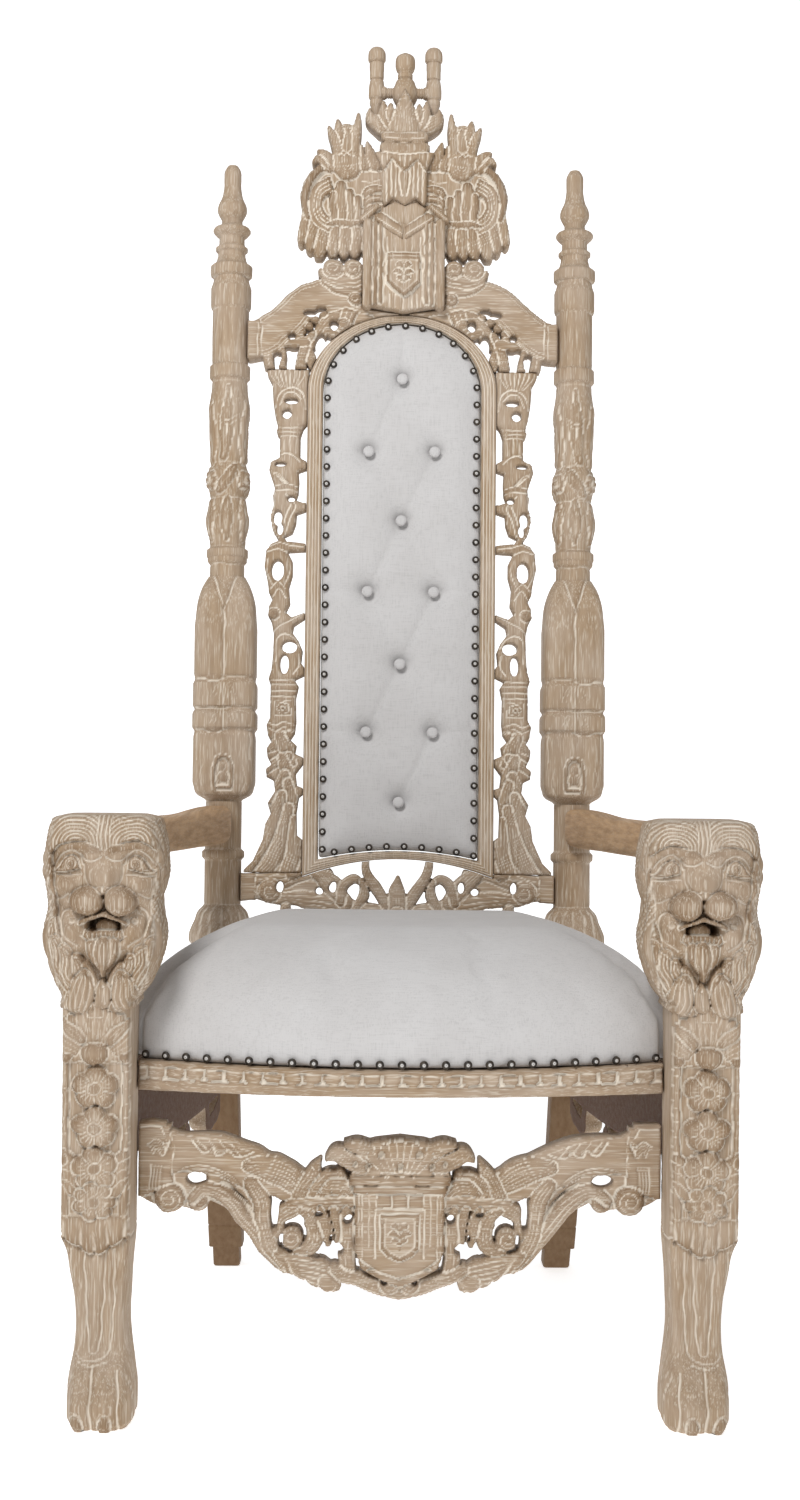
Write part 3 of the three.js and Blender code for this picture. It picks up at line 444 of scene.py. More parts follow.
def together(shapes):
    """Several shapes as one."""
    starts = np.cumsum([0] + [len(s.points) for s in shapes[:-1]])
    slots = [s.slots[: len(s.quads)] for s in shapes] + [s.slots[len(s.quads):] for s in shapes]
    return Shape(
        np.vstack([s.points for s in shapes]),
        np.vstack([s.quads + k for s, k in zip(shapes, starts)]),
        np.vstack([s.tris + k for s, k in zip(shapes, starts)]),
        np.concatenate([s.lime for s in shapes]),
        np.concatenate([s.worn_and_pit_shade for s in shapes]),
        np.concatenate(slots),
    )


def skin(P, lime=None, worn_and_pit_shade=None):
    """A closed skin over rings that run anticlockwise and rise; each end closes on the middle of its ring."""
    rows, cols = P.shape[:2]
    k = np.arange(rows * cols).reshape(rows, cols)
    after = np.roll(k, -1, 1)
    quads = np.stack([k[:-1], after[:-1], after[1:], k[1:]], -1).reshape(-1, 4)
    ends = np.stack([P[0].mean(0), P[-1].mean(0)])
    low, high = rows * cols, rows * cols + 1
    bottom = np.stack([after[0], k[0], np.full(cols, low)], -1)
    top = np.stack([k[-1], after[-1], np.full(cols, high)], -1)
    lime, worn_and_pit_shade = (None if a is None else np.concatenate([a.ravel(), [0, 0]]) for a in (lime, worn_and_pit_shade))
    return Shape(np.vstack([P.reshape(-1, 3), ends]), quads, np.vstack([bottom, top]), lime, worn_and_pit_shade)


def hoop(P, lime=None):
    """A closed skin that joins up both ways, such as a frame."""
    rows, cols = P.shape[:2]
    k = np.arange(rows * cols).reshape(rows, cols)
    up, over = np.roll(k, -1, 0), np.roll(k, -1, 1)
    both = np.roll(up, -1, 1)
    quads = np.stack([k, over, both, up], -1).reshape(-1, 4)
    return Shape(P.reshape(-1, 3), quads, None, lime)


def build(name, shape, materials, replaces=(), sharp=None):
    """Makes the object of a shape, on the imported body, with its tones as attributes."""
    mesh = bpy.data.meshes.new(name)
    mesh.vertices.add(len(shape.points))
    mesh.vertices.foreach_set("co", (shape.points * MM).astype(np.float32).ravel())
    q, t = len(shape.quads), len(shape.tris)
    corners = np.concatenate([shape.quads.ravel(), shape.tris.ravel()]).astype(np.int32)
    starts = np.concatenate([np.arange(q) * 4, q * 4 + np.arange(t) * 3]).astype(np.int32)
    mesh.loops.add(len(corners))
    mesh.loops.foreach_set("vertex_index", corners)
    mesh.polygons.add(q + t)
    mesh.polygons.foreach_set("loop_start", starts)
    for material in materials if isinstance(materials, (list, tuple)) else [materials]:
        mesh.materials.append(material)
    mesh.update(calc_edges=True)
    mesh.polygons.foreach_set("material_index", shape.slots.astype(np.int32))
    mesh.polygons.foreach_set("use_smooth", np.ones(q + t, bool))
    for label in ("lime", "worn_and_pit_shade"):
        mesh.attributes.new(label, "FLOAT", "POINT").data.foreach_set(
            "value", np.clip(getattr(shape, label), 0, 1).astype(np.float32))
    if sharp:
        mesh.set_sharp_from_angle(angle=math.radians(sharp))
    piece = bpy.data.objects.new(name, mesh)
    bpy.context.scene.collection.objects.link(piece)
    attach(piece, "root")
    if replaces:
        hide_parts(*replaces)
    return piece


def mainland(kept):
    """Drops small islands: each kept cell takes the highest number among its neighbours until all agree."""
    label = np.where(kept, np.arange(1, kept.size + 1).reshape(kept.shape), 0)
    while True:
        p = np.pad(label, 1)
        best = np.max([p[1:-1, 1:-1], p[:-2, 1:-1], p[2:, 1:-1], p[1:-1, :-2], p[1:-1, 2:]], 0) * kept
        flat = best.ravel()
        best = np.where(kept, np.maximum(best, flat[np.maximum(best, 1) - 1]), 0)
        if (best == label).all():
            break
        label = best
    names, counts = np.unique(label[kept], return_counts=True)
    return kept & np.isin(label, names[counts > 40])


def board(face, front, back, arris=3.0, warp=None, back_slot=0):
    """A pierced board from a carved face: the cells inside the outline, their edge drawn onto it, rounded at the
    arris, with an upright wall behind the edge and a flat back. Front faces look along -Y."""
    f, step = face.inside, face.step
    face.tone()
    nz, nx = f.shape
    corner = np.minimum(np.minimum(f[:-1, :-1], f[:-1, 1:]), np.minimum(f[1:, :-1], f[1:, 1:]))
    kept = mainland(corner > -0.55 * step)
    k = np.arange(nz * nx).reshape(nz, nx)
    quad = np.stack([k[:-1, :-1], k[:-1, 1:], k[1:, 1:], k[1:, :-1]], -1)
    p = np.pad(kept, 1)
    below, above, left, right = p[:-2, 1:-1], p[2:, 1:-1], p[1:-1, :-2], p[1:-1, 2:]
    edges = np.vstack([quad[kept & ~side][:, pair] for side, pair in (
        (below, [0, 1]), (right, [1, 2]), (above, [2, 3]), (left, [3, 0]))])
    rim = np.zeros(nz * nx, bool)
    rim[edges.ravel()] = True
    gz, gx = np.gradient(f, step)
    size = np.maximum(gx**2 + gz**2, 0.25)
    move = np.clip(f, -step, step) / size
    reach = 0.8 * step
    X = (face.X - np.clip(gx * move, -reach, reach) * rim.reshape(nz, nx)).ravel()
    Z = (face.Z - np.clip(gz * move, -reach, reach) * rim.reshape(nz, nx)).ravel()
    edge = np.where(rim, 0, np.clip(f.ravel() / arris, 0, 1))
    high = face.high.ravel() - arris * (1 - np.sqrt(1 - (1 - edge) ** 2))
    front_points = np.stack([X, front - high, Z], 1)
    back_points = np.stack([X, np.full(X.shape, float(back)), Z], 1)
    cells = quad[kept]
    used = np.unique(cells)
    order = np.full(nz * nx, -1)
    order[used] = np.arange(len(used))
    n = len(used)
    cells, edges = order[cells], order[edges]
    wall = np.stack([edges[:, 1], edges[:, 0], edges[:, 0] + n, edges[:, 1] + n], 1)
    points = np.vstack([front_points[used], back_points[used]])
    if warp:
        points = warp(points)
    lime = np.concatenate([face.lime.ravel()[used] * (edge[used] > 0.3), np.zeros(n)])
    worn_and_pit_shade = np.concatenate([face.worn_and_pit_shade.ravel()[used], np.zeros(n)])
    # back faces take the back slot; the seat's boards give them raw wood darkened as painted shade
    slots = np.concatenate([np.zeros(len(cells)), np.full(len(cells), back_slot), np.zeros(len(wall))])
    return Shape(points, np.vstack([cells, cells[:, ::-1] + n, wall]), None, lime, worn_and_pit_shade, slots)


# ---- Finishes ----


FLOAT, COLOUR, VECTOR = "NodeSocketFloat", "NodeSocketColor", "NodeSocketVector"


def group(name, inputs, outputs):
    """An empty node group with named inputs and outputs, and its two end nodes."""
    tree = bpy.data.node_groups.new(name, "ShaderNodeTree")
    for label, kind, value in inputs:
        socket = tree.interface.new_socket(label, in_out="INPUT", socket_type=kind)
        if value is not None:
            socket.default_value = value
    for label, kind in outputs:
        tree.interface.new_socket(label, in_out="OUTPUT", socket_type=kind)
    return tree, tree.nodes.new("NodeGroupInput"), tree.nodes.new("NodeGroupOutput")


def noise(tree, vector, scale, detail=3.0, rough=0.55):
    """A noise of the given scale at the places of a vector."""
    node = tree.nodes.new("ShaderNodeTexNoise")
    node.inputs["Scale"].default_value = scale
    node.inputs["Detail"].default_value = detail
    node.inputs["Roughness"].default_value = rough
    tree.links.new(vector, node.inputs["Vector"])
    return node.outputs["Fac"]


def stretched(tree, vector, scale):
    """A vector with each of its axes scaled."""
    node = tree.nodes.new("ShaderNodeMapping")
    node.inputs["Scale"].default_value = scale
    tree.links.new(vector, node.inputs["Vector"])
    return node.outputs["Vector"]


def span_map(tree, value, low, high, to_low=0.0, to_high=1.0):
    """A value carried from one span onto another."""
    node = tree.nodes.new("ShaderNodeMapRange")
    for k, v in enumerate((low, high, to_low, to_high), 1):
        node.inputs[k].default_value = v
    tree.links.new(value, node.inputs[0])
    return node.outputs[0]


def maths(tree, kind, a, b):
    """A sum, a product or a difference of two values, each a number or a socket."""
    node = tree.nodes.new("ShaderNodeMath")
    node.operation = kind
    node.use_clamp = kind != "SUBTRACT"
    for k, v in enumerate((a, b)):
        if isinstance(v, (int, float)):
            node.inputs[k].default_value = v
        else:
            tree.links.new(v, node.inputs[k])
    return node.outputs[0]


def blend(tree, share, a, b, kind="MIX"):
    """A mix of two colours, each a colour or a socket, by a share."""
    node = tree.nodes.new("ShaderNodeMix")
    node.data_type = "RGBA"
    node.blend_type = kind
    for k, v in ((0, share), (6, a), (7, b)):
        if isinstance(v, (int, float)):
            node.inputs[k].default_value = v
        elif isinstance(v, (tuple, list)):
            node.inputs[k].default_value = (*v[:3], 1)
        else:
            tree.links.new(v, node.inputs[k])
    return node.outputs[2]


def grain_group():
    """Wood grain along Z of the vector it is given: long streaks, open pores and broad patches."""
    tree, start, end = group(
        "wood_grain", [("Vector", VECTOR, None)],
        [("Streak", FLOAT), ("Pore", FLOAT), ("Patch", FLOAT),
         ("Height", FLOAT)])
    vector = start.outputs["Vector"]
    streak = noise(tree, stretched(tree, vector, (150, 150, 7)), 1.0, 4.0, 0.6)
    pore = noise(tree, stretched(tree, vector, (620, 620, 26)), 1.0, 2.0, 0.5)
    patch = noise(tree, stretched(tree, vector, (17, 17, 8)), 1.0, 3.0, 0.6)
    streak = span_map(tree, streak, 0.36, 0.66)
    pore = span_map(tree, pore, 0.52, 0.68)
    patch = span_map(tree, patch, 0.36, 0.64)
    rough = maths(tree, "ADD", maths(tree, "MULTIPLY", streak, 0.5), maths(tree, "MULTIPLY", pore, 0.4))
    for label, value in (("Streak", streak), ("Pore", pore), ("Patch", patch), ("Height", rough)):
        tree.links.new(value, end.inputs[label])
    return tree


def limed_group():
    """The limed finish: pale wood with honey patches, brown where the finish is gone and as painted shade in deep pits,
    paste in pores and grooves.
    """
    tree, start, end = group(
        "limed_finish",
        [("Streak", FLOAT, 0.5), ("Pore", FLOAT, 0.0), ("Patch", FLOAT, 0.5),
         ("Groove", FLOAT, 0.0), ("Wear_and_pit_shade", FLOAT, 0.0),
         ("Pale", COLOUR, None), ("Honey", COLOUR, None), ("Brown", COLOUR, None),
         ("Lime", COLOUR, None), ("Paste", FLOAT, 1.0)],
        [("Color", COLOUR), ("Roughness", FLOAT)])
    i = start.outputs
    ground = blend(tree, maths(tree, "MULTIPLY", i["Patch"], 0.75), i["Pale"], i["Honey"])
    ground = blend(tree, maths(tree, "MULTIPLY", i["Streak"], 0.38), ground, i["Brown"])
    # brown for real wear, and painted shade in deep pits, by the mesh's second tone
    wear_and_pit_shade_share = maths(tree, "MULTIPLY", i["Wear_and_pit_shade"], maths(tree, "ADD", maths(tree, "MULTIPLY", i["Patch"], 0.4), 0.5))
    ground = blend(tree, wear_and_pit_shade_share, ground, i["Brown"])
    ground = blend(tree, maths(tree, "MULTIPLY", i["Pore"], 0.45), ground, i["Lime"])
    paste = maths(tree, "MULTIPLY", span_map(tree, i["Groove"], 0.1, 0.6), i["Paste"])
    ground = blend(tree, paste, ground, i["Lime"])
    tree.links.new(ground, end.inputs["Color"])
    tree.links.new(span_map(tree, i["Streak"], 0, 1, 0.62, 0.8), end.inputs["Roughness"])
    return tree


def weave_group():
    """Linen: crossed slubs of uneven threads, with a faint broad mottle."""
    tree, start, end = group(
        "linen_weave", [("Vector", VECTOR, None)],
        [("Thread", FLOAT), ("Mottle", FLOAT), ("Height", FLOAT)])
    vector = start.outputs["Vector"]
    upright = noise(tree, stretched(tree, vector, (900, 900, 45)), 1.0, 2.0, 0.5)
    level = noise(tree, stretched(tree, vector, (45, 900, 900)), 1.0, 2.0, 0.5)
    thread = span_map(tree, maths(tree, "MULTIPLY", maths(tree, "ADD", upright, level), 0.5), 0.38, 0.62)
    mottle = span_map(tree, noise(tree, vector, 14.0, 3.0), 0.35, 0.65)
    for label, value in (("Thread", thread), ("Mottle", mottle), ("Height", thread)):
        tree.links.new(value, end.inputs[label])
    return tree


def finish_node(tree, name):
    """A node for one of the shared groups."""
    node = tree.nodes.new("ShaderNodeGroup")
    node.node_tree = bpy.data.node_groups[name]
    return node


def start_material(name, rough=0.7):
    """A new material with its tree, its shader and the object's own coordinates."""
    material = bpy.data.materials.new(name)
    material.use_nodes = True
    shader = material.node_tree.nodes["Principled BSDF"]
    shader.inputs["Roughness"].default_value = rough
    shader.inputs["Specular IOR Level"].default_value = 0.3
    where = material.node_tree.nodes.new("ShaderNodeTexCoord").outputs["Object"]
    return material, material.node_tree, shader, where


def bumped(tree, shader, height, far, strong):
    """Roughens a shader by a height."""
    node = tree.nodes.new("ShaderNodeBump")
    node.inputs["Distance"].default_value = far
    node.inputs["Strength"].default_value = strong
    tree.links.new(height, node.inputs["Height"])
    tree.links.new(node.outputs["Normal"], shader.inputs["Normal"])


def attribute(tree, name):
    """A tone that the mesh carries at its points."""
    node = tree.nodes.new("ShaderNodeAttribute")
    node.attribute_name = name
    return node.outputs["Fac"]


def limed(name, turn=(0, 0, 0), tones=("pale", "honey", "brown", "lime"), paste=1.0):
    """Limed wood with its grain along Z, or turned onto another axis."""
    s = bpy.context.scene.throne
    material, tree, shader, where = start_material(name)
    spin = tree.nodes.new("ShaderNodeMapping")
    spin.inputs["Rotation"].default_value = turn
    tree.links.new(where, spin.inputs["Vector"])
    grain, finish = finish_node(tree, "wood_grain"), finish_node(tree, "limed_finish")
    tree.links.new(spin.outputs["Vector"], grain.inputs["Vector"])
    for label in ("Streak", "Pore", "Patch"):
        tree.links.new(grain.outputs[label], finish.inputs[label])
    tree.links.new(attribute(tree, "lime"), finish.inputs["Groove"])
    # the second tone brings real wear and the painted shade of deep pits
    tree.links.new(attribute(tree, "worn_and_pit_shade"), finish.inputs["Wear_and_pit_shade"])
    for label, tone in zip(("Pale", "Honey", "Brown", "Lime"), tones):
        finish.inputs[label].default_value = (*getattr(s, tone), 1)
    finish.inputs["Paste"].default_value = paste
    tree.links.new(finish.outputs["Color"], shader.inputs["Base Color"])
    tree.links.new(finish.outputs["Roughness"], shader.inputs["Roughness"])
    bumped(tree, shader, grain.outputs["Height"], 0.0008, 0.5)
    return material


def linen_material(name):
    """Cool grey linen: dark and pale threads with a faint warm mottle."""
    s = bpy.context.scene.throne
    material, tree, shader, where = start_material(name, 0.95)
    shader.inputs["Sheen Weight"].default_value = 0.25
    shader.inputs["Sheen Roughness"].default_value = 0.6
    weave = finish_node(tree, "linen_weave")
    tree.links.new(where, weave.inputs["Vector"])
    dark = tuple(v * 0.79 for v in s.linen)
    tone = blend(tree, weave.outputs["Thread"], dark, tuple(s.linen))
    warm = (s.linen[0], s.linen[1] * 0.965, s.linen[2] * 0.93)
    tone = blend(tree, maths(tree, "MULTIPLY", weave.outputs["Mottle"], 0.12), tone, warm, "MULTIPLY")
    tree.links.new(tone, shader.inputs["Base Color"])
    bumped(tree, shader, weave.outputs["Height"], 0.0006, 0.35)
    return material


def bronze_material(name):
    """Antique nails: nearly black bronze with a pale painted highlight on the crown, dulled in patches."""
    material, tree, shader, where = start_material(name)
    share = span_map(tree, noise(tree, where, 160.0, 2.0), 0.4, 0.65)
    dark = blend(tree, share, (0.020, 0.016, 0.013), (0.060, 0.046, 0.034))
    # painted highlight: the crown, marked by the lime tone, is mixed towards pale grey
    crown = maths(tree, "MULTIPLY", attribute(tree, "lime"), 0.9)
    tree.links.new(blend(tree, crown, dark, (0.72, 0.70, 0.67)), shader.inputs["Base Color"])
    tree.links.new(span_map(tree, share, 0, 1, 0.45, 0.6), shader.inputs["Roughness"])
    shader.inputs["Metallic"].default_value = 0.25
    return material


def plain_material(name, tone, low, high):
    """A backdrop's pale paint, faintly uneven."""
    material, tree, shader, where = start_material(name, 0.9)
    share = span_map(tree, noise(tree, where, 3.0), 0.3, 0.7)
    tree.links.new(
        blend(tree, share, tuple(v * low for v in tone), tuple(v * high for v in tone)), shader.inputs["Base Color"])
    return material


def finishes():
    """Builds the shared groups and every material once, and gives them by name."""
    if "limed_upright" not in bpy.data.materials:
        grain_group(), limed_group(), weave_group()
        quarter = math.pi / 2
        limed("limed_upright")
        limed("limed_level", (0, quarter, 0))
        limed("limed_along", (quarter, 0, 0))
        limed("arm_wood", (quarter, 0, 0.22), ("arm_brown", "arm_brown", "raw_and_shade", "pale"), 0.4)
        # a darker brown copy of the limed wood: brown wood with painted shade for the rear legs under the seat
        limed("brown_wood_painted_shade", (0, 0, 0), ("brown", "brown", "raw_and_shade", "brown"), 0.2)
        # inner faces of the seat's boards: unfinished wood, darkened further as painted shade under the seat
        limed("raw_wood_painted_shade", (0, quarter, 0), ("raw_and_shade", "raw_and_shade", "raw_and_shade", "raw_and_shade"), 0.0)
        linen_material("linen_cloth")
        bronze_material("bronze_nail")
    return bpy.data.materials


# ---- Stage ----

CAMERA = {"place": (-0.0425, -2.553, 0.7935), "yaw": math.radians(0.932), "roll": math.radians(0.606), "lens": 45.14}
# name, place, aim, watts, width
LAMPS = (("key", (-1.1, -2.6, 3.3), (0, 0, 0.8), 92, 1.0), ("fill", (2.2, -2.8, 1.4), (0, 0, 0.6), 12, 1.6))
SKY, GLOW = 0.34, 0.68  # strength of the studio's even light, and of the backdrop's own


def backdrop():
    """A floor that curves up into a wall behind, with a faint glow of its own so that it stays white."""
    turn = np.linspace(0, math.pi / 2, 16)
    bend, far, high = 1.6, 9.0, 8.0
    y = np.concatenate([[-9], far - bend + bend * np.sin(turn), [far]])
    z = np.concatenate([[0], bend - bend * np.cos(turn), [high]]) - 0.0005
    n = len(y)
    points = [(x, float(v), float(w)) for x in (-9, 9) for v, w in zip(y, z)]
    mesh = bpy.data.meshes.new("backdrop")
    mesh.from_pydata(points, [], [(k, k + n, k + n + 1, k + 1) for k in range(n - 1)])
    mesh.polygons.foreach_set("use_smooth", np.ones(n - 1, bool))
    paint = plain_material("backdrop_paint", (0.93, 0.93, 0.93), 0.99, 1.0)
    shader = paint.node_tree.nodes["Principled BSDF"]
    shader.inputs["Emission Color"].default_value = (1, 1, 1, 1)
    shader.inputs["Emission Strength"].default_value = GLOW
    mesh.materials.append(paint)
    floor = bpy.data.objects.new("backdrop", mesh)
    bpy.context.scene.collection.objects.link(floor)
    return floor


class THRONE_OT_stage(bpy.types.Operator):
    """Sets the camera, the pale floor and backdrop, and the soft lights"""

    bl_idname = "throne.stage"
    bl_label = "Stage"

    def execute(self, context):
        scene = context.scene
        data = bpy.data.cameras.new("camera")
        data.sensor_width, data.lens = 36.0, CAMERA["lens"]
        data.clip_start, data.clip_end = 0.05, 60
        camera = bpy.data.objects.new("camera", data)
        scene.collection.objects.link(camera)
        camera.matrix_world = (
            Matrix.Translation(CAMERA["place"]) @ Matrix.Rotation(-CAMERA["yaw"], 4, "Z")
            @ Matrix.Rotation(math.pi / 2, 4, "X") @ Matrix.Rotation(CAMERA["roll"], 4, "Z"))
        scene.camera = camera
        scene.view_settings.view_transform = "Standard"
        backdrop()
        world = bpy.data.worlds.new("studio")
        scene.world = world
        world.use_nodes = True
        back = world.node_tree.nodes["Background"]
        back.inputs["Color"].default_value = (0.97, 0.98, 1.0, 1)
        back.inputs["Strength"].default_value = SKY
        for name, place, aim, watts, width in LAMPS:
            light = bpy.data.lights.new(name, "AREA")
            light.energy, light.size = watts, width
            lamp = bpy.data.objects.new(name, light)
            scene.collection.objects.link(lamp)
            lamp.location = place
            lamp.rotation_euler = (Vector(place) - Vector(aim)).to_track_quat("Z", "Y").to_euler()
        return {"FINISHED"}


# ---- Turned and squared members ----

TURNED_RADIUS = 26.0  # usual radius of turned work, which makes an angle an arc length on its face


def square_way(fronts, sides, backs):
    """Directions round a unit square, anticlockwise from the front's left corner, closer together in front."""
    ahead, beside, behind = (np.linspace(-1, 1, n, endpoint=False) for n in (fronts, sides, backs))
    x = np.concatenate([ahead, np.ones(sides), -behind, -np.ones(sides)])
    y = np.concatenate([-np.ones(fronts), beside, np.ones(backs), -beside])
    return x, y


def pillar(levels, heights, counts, front, side, mid):
    """A squared member: at each height a superellipse |x/a|^p + |y/b|^p = 1 from the table of levels, pushed out by
    the carved face in front and by the side face at the sides, each by how far the surface looks that way."""
    qx, qy = square_way(*counts)
    x0, x1, y0, y1, power = (table(levels, heights, k)[:, None] for k in range(1, 6))
    r = (np.abs(qx) ** power + np.abs(qy) ** power) ** (-1 / power)
    nx = np.sign(qx) * (np.abs(qx) * r) ** (power - 1) / (x1 - x0)
    ny = np.sign(qy) * (np.abs(qy) * r) ** (power - 1) / (y1 - y0)
    size = np.hypot(nx, ny)
    nx, ny = nx / size, ny / size
    x = (x0 + x1) / 2 + (x1 - x0) / 2 * qx * r
    y = (y0 + y1) / 2 + (y1 - y0) / 2 * qy * r
    z = np.broadcast_to(heights[:, None], x.shape)
    ahead = smooth(0.35, 0.8, -ny)
    beside = smooth(0.35, 0.8, np.abs(nx)) * (1 - ahead)
    u = x - mid
    lime = front.read("lime", u, z) * ahead + side.read("lime", y, z) * beside
    worn_and_pit_shade = front.read("worn_and_pit_shade", u, z) * ahead + side.read("worn_and_pit_shade", y, z) * beside
    y = y - front.read("high", u, z) * ahead
    x = x + np.sign(nx) * side.read("high", np.broadcast_to(y, x.shape), z) * beside
    return skin(np.stack([x, y, z], -1), lime, worn_and_pit_shade)


def turning(profile, heights, x, y, count, face=None, squash=1.0):
    """A turned member: a profile of (height, radius) swept round an upright axis, pushed out by a carved face that
    is wrapped round it, its x the arc length from the front."""
    angle = np.arange(count) / count * TAU
    radius = table(profile, heights, 1)[:, None] * np.ones(count)
    z = np.broadcast_to(heights[:, None], radius.shape)
    lime = worn_and_pit_shade = np.zeros(radius.shape)
    if face is not None:
        ahead = (angle + math.pi / 2 + math.pi) % TAU - math.pi  # 0 looking forwards
        arc = np.broadcast_to(-ahead * TURNED_RADIUS, radius.shape)
        radius = radius + face.read("high", arc, z)
        lime, worn_and_pit_shade = face.read("lime", arc, z), face.read("worn_and_pit_shade", arc, z)
    ring = np.stack([x + radius * np.cos(angle), y + squash * radius * np.sin(angle), z], -1)
    return skin(ring, lime, worn_and_pit_shade)


def heights_for(profile, step):
    """Levels close together, with each level of the profile among them."""
    z = np.array([row[0] for row in profile], float)
    return np.unique(np.concatenate([np.arange(z[0], z[-1], step), z]).round(3))


# ---- Front legs ----

# height, inner x, outer x, front y, back y, squareness
LEG_LEVELS = [
    (0, 316, 383, -364, -286, 4), (8, 312, 387, -369, -281, 4), (40, 312, 388, -366, -276, 4),
    (64, 315, 387, -357, -272, 4), (84, 319, 384, -348, -268, 4.5), (111, 322, 382, -345, -265, 5),
    (146, 321, 384, -345, -263, 5), (176, 320, 389, -346, -261, 6), (206, 318, 394, -348, -259, 8),
    (218, 317.5, 399, -349, -258, 9), (500, 317.5, 399.5, -350, -258, 10),
]
HEAD_LEVELS = [
    (483, 330, 388, -348, -260, 6), (487, 319, 398.5, -350, -258, 7), (498, 314, 400, -352, -255, 5.5),
    (504, 309, 402, -352, -253, 5), (516, 301, 408, -352, -251, 4.5),
    (537, 292, 416, -354, -249, 4.5), (572, 285, 423.5, -355, -247, 4), (606, 290, 417.5, -356, -246, 4),
    (650, 283.5, 424.5, -356, -245, 4), (690, 288, 418.6, -353, -246, 4.5), (704, 292, 415.5, -350, -247, 4.5),
    (711, 298, 410, -345, -251, 4.5), (713.5, 308, 400, -338, -258, 4.5),
]


def leg_face():
    """The front of a leg below the head; x is measured outwards from the shaft's middle."""
    f = Face(-46, 46, -4, 512, 1.2, whole=True)
    low = f.Z < 214
    # paw: two big toes with side toes, knuckles and claws
    for x in (-17, 17):
        f.swell(x, 30, 17, 34, 7, 1.6)
    for x in (-35, 35):
        f.swell(x, 22, 8, 24, 3, 1.6)
    f.swell(-37, 66, 9, 10, 3)
    for x, top in ((0, 70), (-30, 66), (30, 72)):
        f.scratch([(x, top), (x * 1.04, 40), (x * 1.1, -4)], 1.9, 3.6)
    for x in (-17, 17):
        f.dome(x, 6, 7.5, 13, 3.0, 6.5)
        f.scratch([(x - 9, 6), (x - 6, 19), (x + 6, 20), (x + 9, 6)], 1.1, 1.5)
        f.scratch([(x - 9, 47), (x, 44), (x + 9, 47)], 1.6, 0.9)
    f.scratch([(-16, 74), (0, 70), (17, 75)], 1.3, 2.0)
    # tendons of the lower leg, in two loops
    f.swell(-1, 140, 7, 70, 2.2, 2)
    for x in (-24, 24):
        f.swell(x, 150, 9, 64, 1.6, 2)
    f.scratch([(-14, 208), (-12, 150), (-7, 94), (-1, 85), (5, 94), (9, 150), (11, 208)], 1.5, 2.2)
    f.scratch([(-24, 206), (-23, 120), (-17, 84), (0, 76), (19, 82), (25, 110), (27, 206)], 1.6, 2.3)
    f.scratch([(-6, 130), (-3, 100)], 0.9, 0.9)
    f.scratch([(31, 206), (33, 150), (31, 90)], 1.3, 1.2)
    # acanthus skirt over the knee
    rim = 218 - 18 * np.exp(-((f.X / 21) ** 2)) - 2.5 * np.abs(np.sin(f.X / 5.5)) + 2
    skirt = np.minimum(f.Z - rim, 262 - f.Z)
    f.lay(EVERYWHERE, skirt, 4.2 + 2.2 * np.sin((262 - f.Z) / 30), cut=2.4, edge=2.0)
    for x, z in ((-36, 226), (-16, 219), (0, 212), (15, 219), (36, 226)):
        f.swell(x, z, 3.0, 15, -4.2, 1.3)
        f.swell(x, z - 9, 3.4, 5, -2.0)
    for x in (-27, -8, 8, 26):
        f.scratch([(x * 1.05, 214 - 6 * (abs(x) < 12)), (x, 246)], 0.9, 1.0)
    # flower panel
    panel = np.minimum(33 - np.abs(f.X), np.minimum(424 - f.Z, f.Z - 246))
    f.high = np.where(panel > 0, -3.0 + 3.5 * smooth(300, 272, f.Z), f.high)
    f.high = np.where((np.abs(f.X) > 31.5) & (f.Z > 246) & (f.Z < 424), 1.6, f.high)
    for side in (-1, 1):
        f.scratch(sided(side, (30.5, 424), (30.5, 300)), 1.0, 1.6)
        f.scratch(sided(side, (35.5, 424), (35.5, 322)), 0.7, 0.9)
        for z in (413, 394, 376, 359, 341, 324):
            f.scratch(sided(side, (31, z), (42, z)), 0.75, 1.3)
        # folds of drapery beside the lowest flower
        for k, z in enumerate((318, 307, 296, 284)):
            f.carve(sided(side, (41, z + 3, 2), (33, z - 3, 6.5), (22, z - 13, 5), (13, z - 17, 2)),
                    3.2, 1.2 + 0.4 * k, outline=False)
        f.carve(sided(side, (40, 280, 4), (36, 262, 6.5), (33, 250, 5)), 3.4, 1.5, outline=False)
    f.dome(37.5, 312, 5.5, 7, 4.5, 2.0)
    for k, z in enumerate((395, 348, 301, 263)):
        f.flower(0, z, 28 - (k == 3) * 1.5, 25.5 - (k == 3) * 2.5, 5 if k < 3 else 7, 8.5, -1.0,
                 turn=-math.pi / 2 + 0.06 * k, cut=3.0)
    for z in (371.5, 324.5, 281):
        f.scratch([(-15, z), (15, z)], 1.0, -2.5)
    # bracket with a dome and two bosses
    f.panel([(-43, 426), (43, 426), (43, 444), (-43, 444)], 0, 1.5, 1.5)
    f.dome(1, 435.5, 16.5, 13.5, 8, 2.0)
    for side in (-1, 1):
        f.dome(side * 35, 434, 7.5, 10.5, 6, 2.0)
        for x in (20, 24.5):
            f.scratch(sided(side, (x, 426), (x, 443)), 0.9, 1.4)
    # shell over the bracket with a small tab in the middle, its rim flared at the outer corners
    f.high = np.where(f.Z > 446, 1.2, f.high)
    f.fan(0, 424, 24, 66, 1.25, 15, 5.5, 1.4, 0.08)
    for side in (-1, 1):
        f.comb(sided(side, (16, 452, 6), (28, 462, 8), (42, 474, 4)), 5.0, 2.5, 4.2, 1.6)
    f.panel([(-9, 478), (-9, 488), (-5, 496), (5, 496), (9, 488), (9, 478)], 3, 4.0, 3)
    f.high[low] += 0.35 * np.sin(f.X[low] * 1.9 + 3 * np.sin(f.Z[low] / 23))
    f.tone()
    return f


